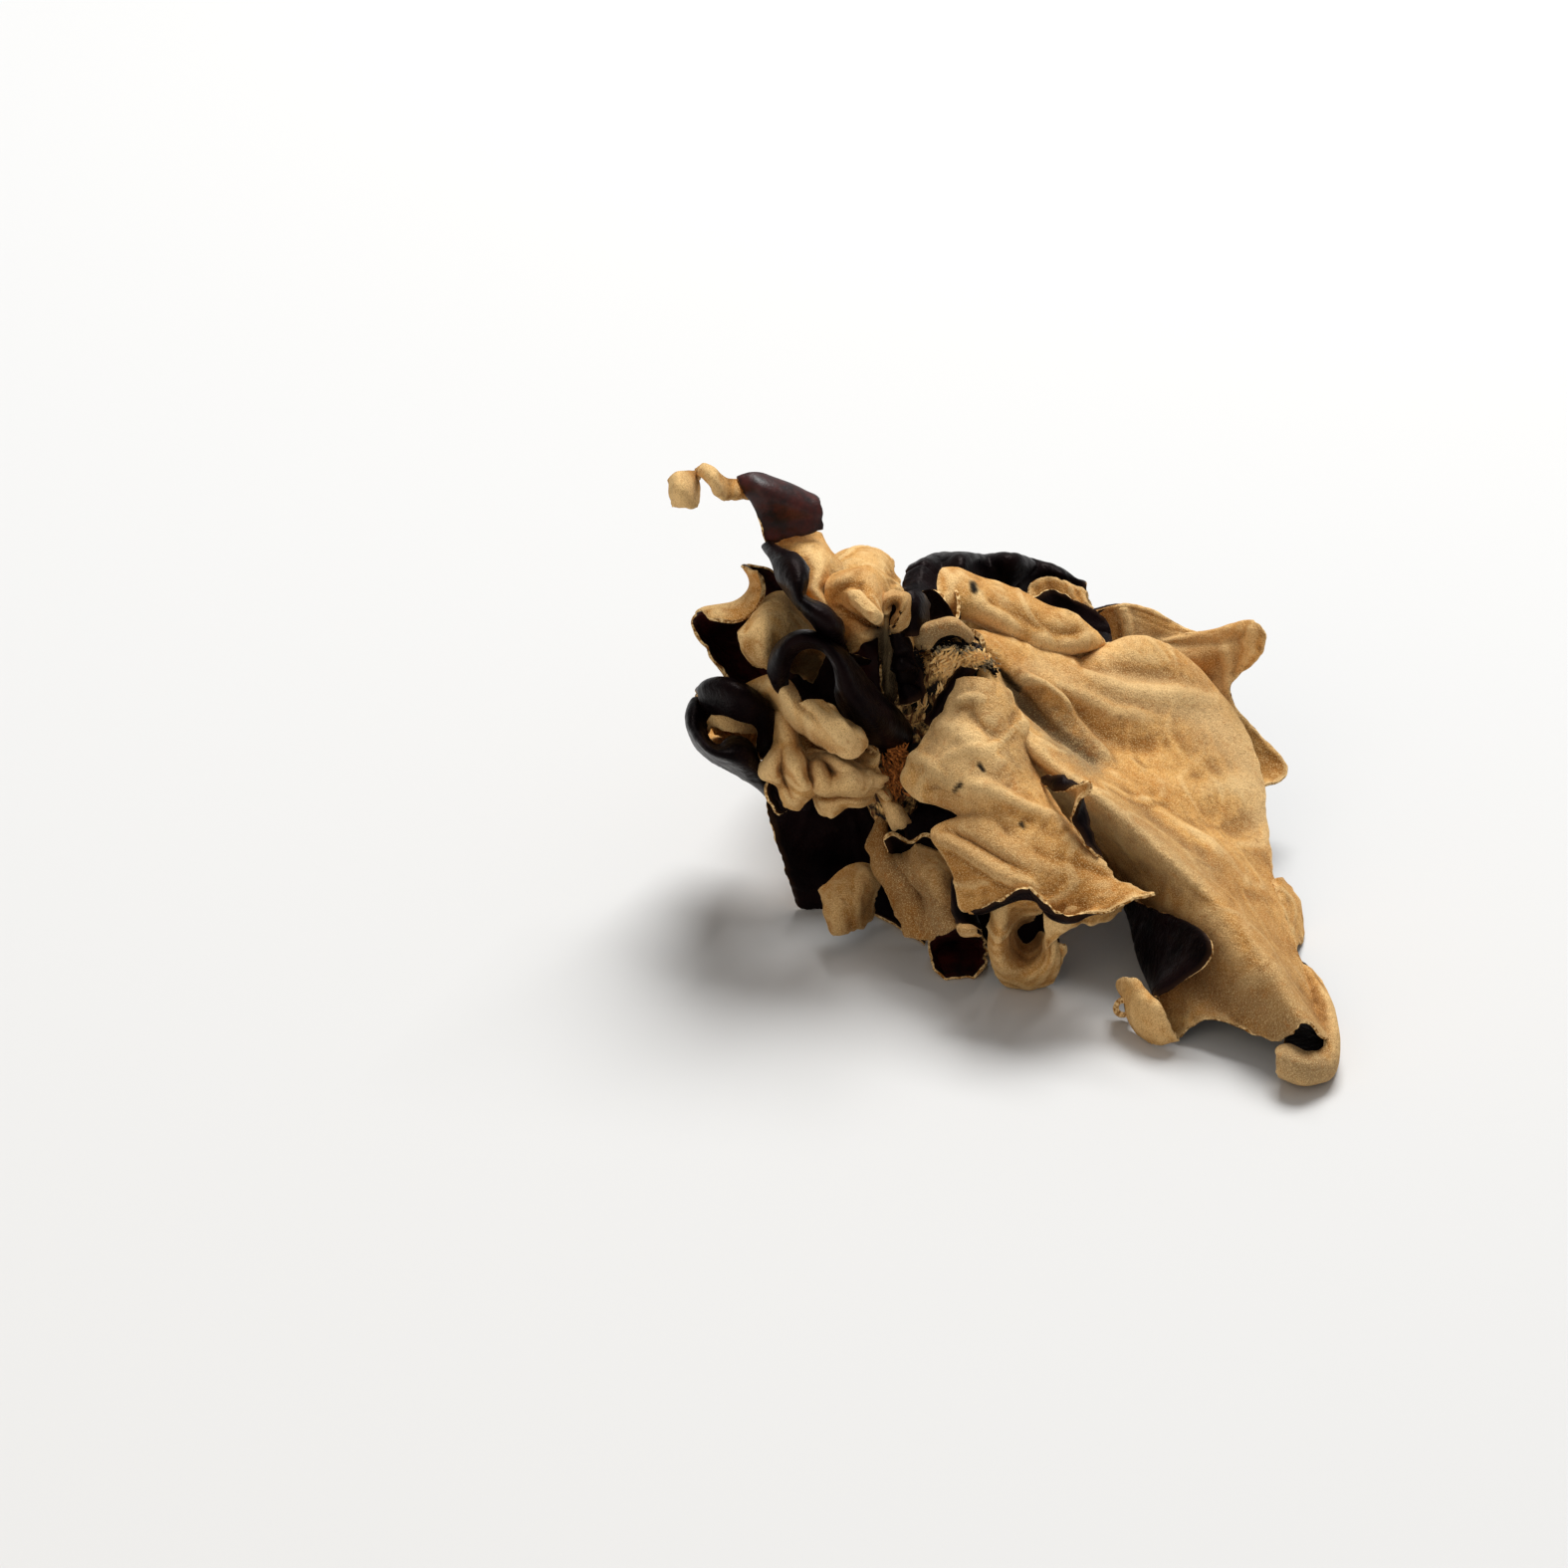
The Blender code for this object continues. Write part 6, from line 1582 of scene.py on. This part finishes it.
class StudioSettings(bpy.types.PropertyGroup):
    """Floor and light."""

    floor_colour: tone("Floor", "The plain floor", "#cecece")
    key_power: bpy.props.FloatProperty(
        name="Key light", description="Power of the large soft light above",
        default=90.0, min=0.0, unit="POWER")
    fill_power: bpy.props.FloatProperty(
        name="Fill light", description="Power of the soft light in front", default=2.4, min=0.0, unit="POWER")
    sky_strength: bpy.props.FloatProperty(
        name="Room light", description="Strength of the white room round the clump", default=0.31, min=0.0)


class EarOperator:
    """What the operators for ears share: they grow the ears that they name."""

    ears = ()

    def execute(self, context):
        for name in self.ears:
            grow_ear(name)
        return {"FINISHED"}


class WOODEAR_OT_main_ear(EarOperator, bpy.types.Operator):
    """Grow the largest ear, from the base to its curled tip"""

    bl_idname = "woodear.main_ear"
    bl_label = "Main ear"
    ears = ("main_ear",)


class WOODEAR_OT_front_ear(EarOperator, bpy.types.Operator):
    """Grow the pale ear in front of the base and the dark blade in its crease"""

    bl_idname = "woodear.front_ear"
    bl_label = "Front ear"
    ears = ("front_ear", "blade_ear")


class WOODEAR_OT_right_ears(EarOperator, bpy.types.Operator):
    """Grow the ears that spread to the right"""

    bl_idname = "woodear.right_ears"
    bl_label = "Right ears"
    ears = ("right_ear", "upper_ear")


class WOODEAR_OT_back_ears(EarOperator, bpy.types.Operator):
    """Grow the ears that arch down behind the clump"""

    bl_idname = "woodear.back_ears"
    bl_label = "Back ears"
    ears = ("back_ear", "back_left_ear")


class WOODEAR_OT_tall_ear(EarOperator, bpy.types.Operator):
    """Grow the tallest ear: S-shaped stem, red flag and twisted ribbon"""

    bl_idname = "woodear.tall_ear"
    bl_label = "Tall ear"
    ears = ("tall_ear",)


class WOODEAR_OT_hood_ears(EarOperator, bpy.types.Operator):
    """Grow the dark hood and the crumpled ear below it"""

    bl_idname = "woodear.hood_ears"
    bl_label = "Hood and ruffle"
    ears = ("hood_ear", "ruffle_ear")


class WOODEAR_OT_left_ears(EarOperator, bpy.types.Operator):
    """Grow the ears on the left side"""

    bl_idname = "woodear.left_ears"
    bl_label = "Left ears"
    ears = ("left_ear", "patch_ear", "round_ear", "mid_ear")


class WOODEAR_OT_low_ears(EarOperator, bpy.types.Operator):
    """Grow the ears low at the front and underneath"""

    bl_idname = "woodear.low_ears"
    bl_label = "Low ears"
    ears = ("lower_left_ear", "pitcher_ear", "low_ear", "under_ear", "inner_ear", "tucked_ear")


class WOODEAR_OT_collar(EarOperator, bpy.types.Operator):
    """Grow the small ears that crowd round the scar"""

    bl_idname = "woodear.collar"
    bl_label = "Collar ears"
    ears = ("collar_hood", "collar_cup", "collar_loop")


class WOODEAR_OT_base(bpy.types.Operator):
    """Build the torn woody base with its splinters, crust and fibres"""

    bl_idname = "woodear.base"
    bl_label = "Torn base"

    def execute(self, context):
        looks = context.scene.wood_ear_looks
        stub = place_mesh("base_torn", rough_stub(), [wood_finish(looks)])
        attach(stub, "root")
        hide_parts("base")
        heaps = joined([
            slivers(SCAR_CHIPS, width=0.4, finish=0, seed=5),
            slivers(SCAR_CRUST, width=0.4, finish=1, seed=6),
            slivers(LOWER_FIBRES, width=0.35, finish=2, seed=7),
            slivers(SCAR_BARK, width=0.35, finish=3, seed=8),
        ])
        chips = place_mesh("base_splinters", heaps, [
            splinter_finish("straw splinters", looks, "wood_straw", "hair_tip"),
            splinter_finish("black crust flakes", looks, "skin_black", "wood_crust"),
            splinter_finish("brown fibres", looks, "wood_brown", "wood_rust"),
            splinter_finish("speckled bark", looks, "wood_crust", "wood_bark"),
        ])
        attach(chips, "root")
        return {"FINISHED"}


# Half the floor's side, and what the lights point at, in metres
FLOOR_HALF = 4.0
LIGHT_AIM = (0.0, 0.0, 0.03)


def aimed(place, target):
    """The turn that points a light or a camera at a target."""
    return (Vector(target) - Vector(place)).to_track_quat("-Z", "Y").to_euler()


class WOODEAR_OT_stage(bpy.types.Operator):
    """Set out the pale floor, the soft lights and the camera at the photograph's angle"""

    bl_idname = "woodear.stage"
    bl_label = "Floor, lights and camera"

    def execute(self, context):
        scene = context.scene
        studio = scene.wood_ear_studio
        mesh = bpy.data.meshes.new("floor")
        corners = [(x * FLOOR_HALF, y * FLOOR_HALF, 0) for x, y in ((-1, -1), (1, -1), (1, 1), (-1, 1))]
        mesh.from_pydata(corners, [], [(0, 1, 2, 3)])
        floor = bpy.data.objects.new("floor", mesh)
        scene.collection.objects.link(floor)
        material = bpy.data.materials.new("plain pale floor")
        material.use_nodes = True
        shader = material.node_tree.nodes["Principled BSDF"]
        shader.inputs["Base Color"].default_value = studio.floor_colour
        shader.inputs["Roughness"].default_value = 0.9
        shader.inputs["Specular IOR Level"].default_value = 0.1
        mesh.materials.append(material)

        world = bpy.data.worlds.new("white room")
        world.use_nodes = True
        room = world.node_tree.nodes["Background"]
        room.inputs["Color"].default_value = (1.0, 1.0, 1.0, 1.0)
        room.inputs["Strength"].default_value = studio.sky_strength
        scene.world = world
        scene.view_settings.view_transform = "Standard"

        for name, place, size, power, tint in (
                ("key light", (0.35, 1.10, 2.30), 1.4, studio.key_power, (1.0, 1.0, 0.99)),
                ("fill light", (-0.5, -0.9, 0.6), 0.9, studio.fill_power, (1.0, 0.86, 0.68))):
            lamp = bpy.data.lights.new(name, "AREA")
            lamp.shape = "SQUARE"
            lamp.size = size
            lamp.energy = power
            lamp.color = tint
            light = bpy.data.objects.new(name, lamp)
            light.location = place
            light.rotation_euler = aimed(place, LIGHT_AIM)
            scene.collection.objects.link(light)

        # A lens that sees VIEW_MIDDLE view steps to each side of the middle, as the drawing view does
        lens = bpy.data.cameras.new("camera")
        lens.sensor_width = 36.0
        lens.lens = 0.5 * lens.sensor_width / (VIEW_MIDDLE * VIEW_STEP / VIEW_DISTANCE)
        lens.clip_start = 0.01
        camera = bpy.data.objects.new("camera", lens)
        camera.location = (EYE - FOOTPRINT_MIDDLE) * MM
        camera.rotation_euler = aimed(camera.location, (VIEW_AIM - FOOTPRINT_MIDDLE) * MM)
        scene.collection.objects.link(camera)
        scene.camera = camera
        return {"FINISHED"}


OPERATORS = (
    WOODEAR_OT_stage,
    WOODEAR_OT_base,
    WOODEAR_OT_main_ear,
    WOODEAR_OT_front_ear,
    WOODEAR_OT_right_ears,
    WOODEAR_OT_back_ears,
    WOODEAR_OT_tall_ear,
    WOODEAR_OT_hood_ears,
    WOODEAR_OT_left_ears,
    WOODEAR_OT_low_ears,
    WOODEAR_OT_collar,
)


class WOODEAR_PT_panel(bpy.types.Panel):
    """The pieces and their settings"""

    bl_idname = "WOODEAR_PT_panel"
    bl_label = "Dried wood ear"
    bl_space_type = "VIEW_3D"
    bl_region_type = "UI"
    bl_category = "Wood ear"

    def draw(self, context):
        scene = context.scene
        for group in (scene.wood_ear_sheet, scene.wood_ear_looks, scene.wood_ear_studio):
            box = self.layout.box()
            for key in group.bl_rna.properties.keys():
                if key not in ("rna_type", "name"):
                    box.prop(group, key)
        column = self.layout.column()
        for operator in OPERATORS:
            column.operator(operator.bl_idname)


CLASSES = (SheetSettings, FinishSettings, StudioSettings, *OPERATORS, WOODEAR_PT_panel)


def register():
    for item in CLASSES:
        bpy.utils.register_class(item)
    bpy.types.Scene.wood_ear_sheet = bpy.props.PointerProperty(type=SheetSettings)
    bpy.types.Scene.wood_ear_looks = bpy.props.PointerProperty(type=FinishSettings)
    bpy.types.Scene.wood_ear_studio = bpy.props.PointerProperty(type=StudioSettings)


def unregister():
    del bpy.types.Scene.wood_ear_studio
    del bpy.types.Scene.wood_ear_looks
    del bpy.types.Scene.wood_ear_sheet
    for item in reversed(CLASSES):
        bpy.utils.unregister_class(item)


def main():
    """Register the add-on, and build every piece."""
    register()
    for operator in OPERATORS:
        group, name = operator.bl_idname.split(".")
        getattr(getattr(bpy.ops, group), name)()


if __name__ == "__main__":
    main()
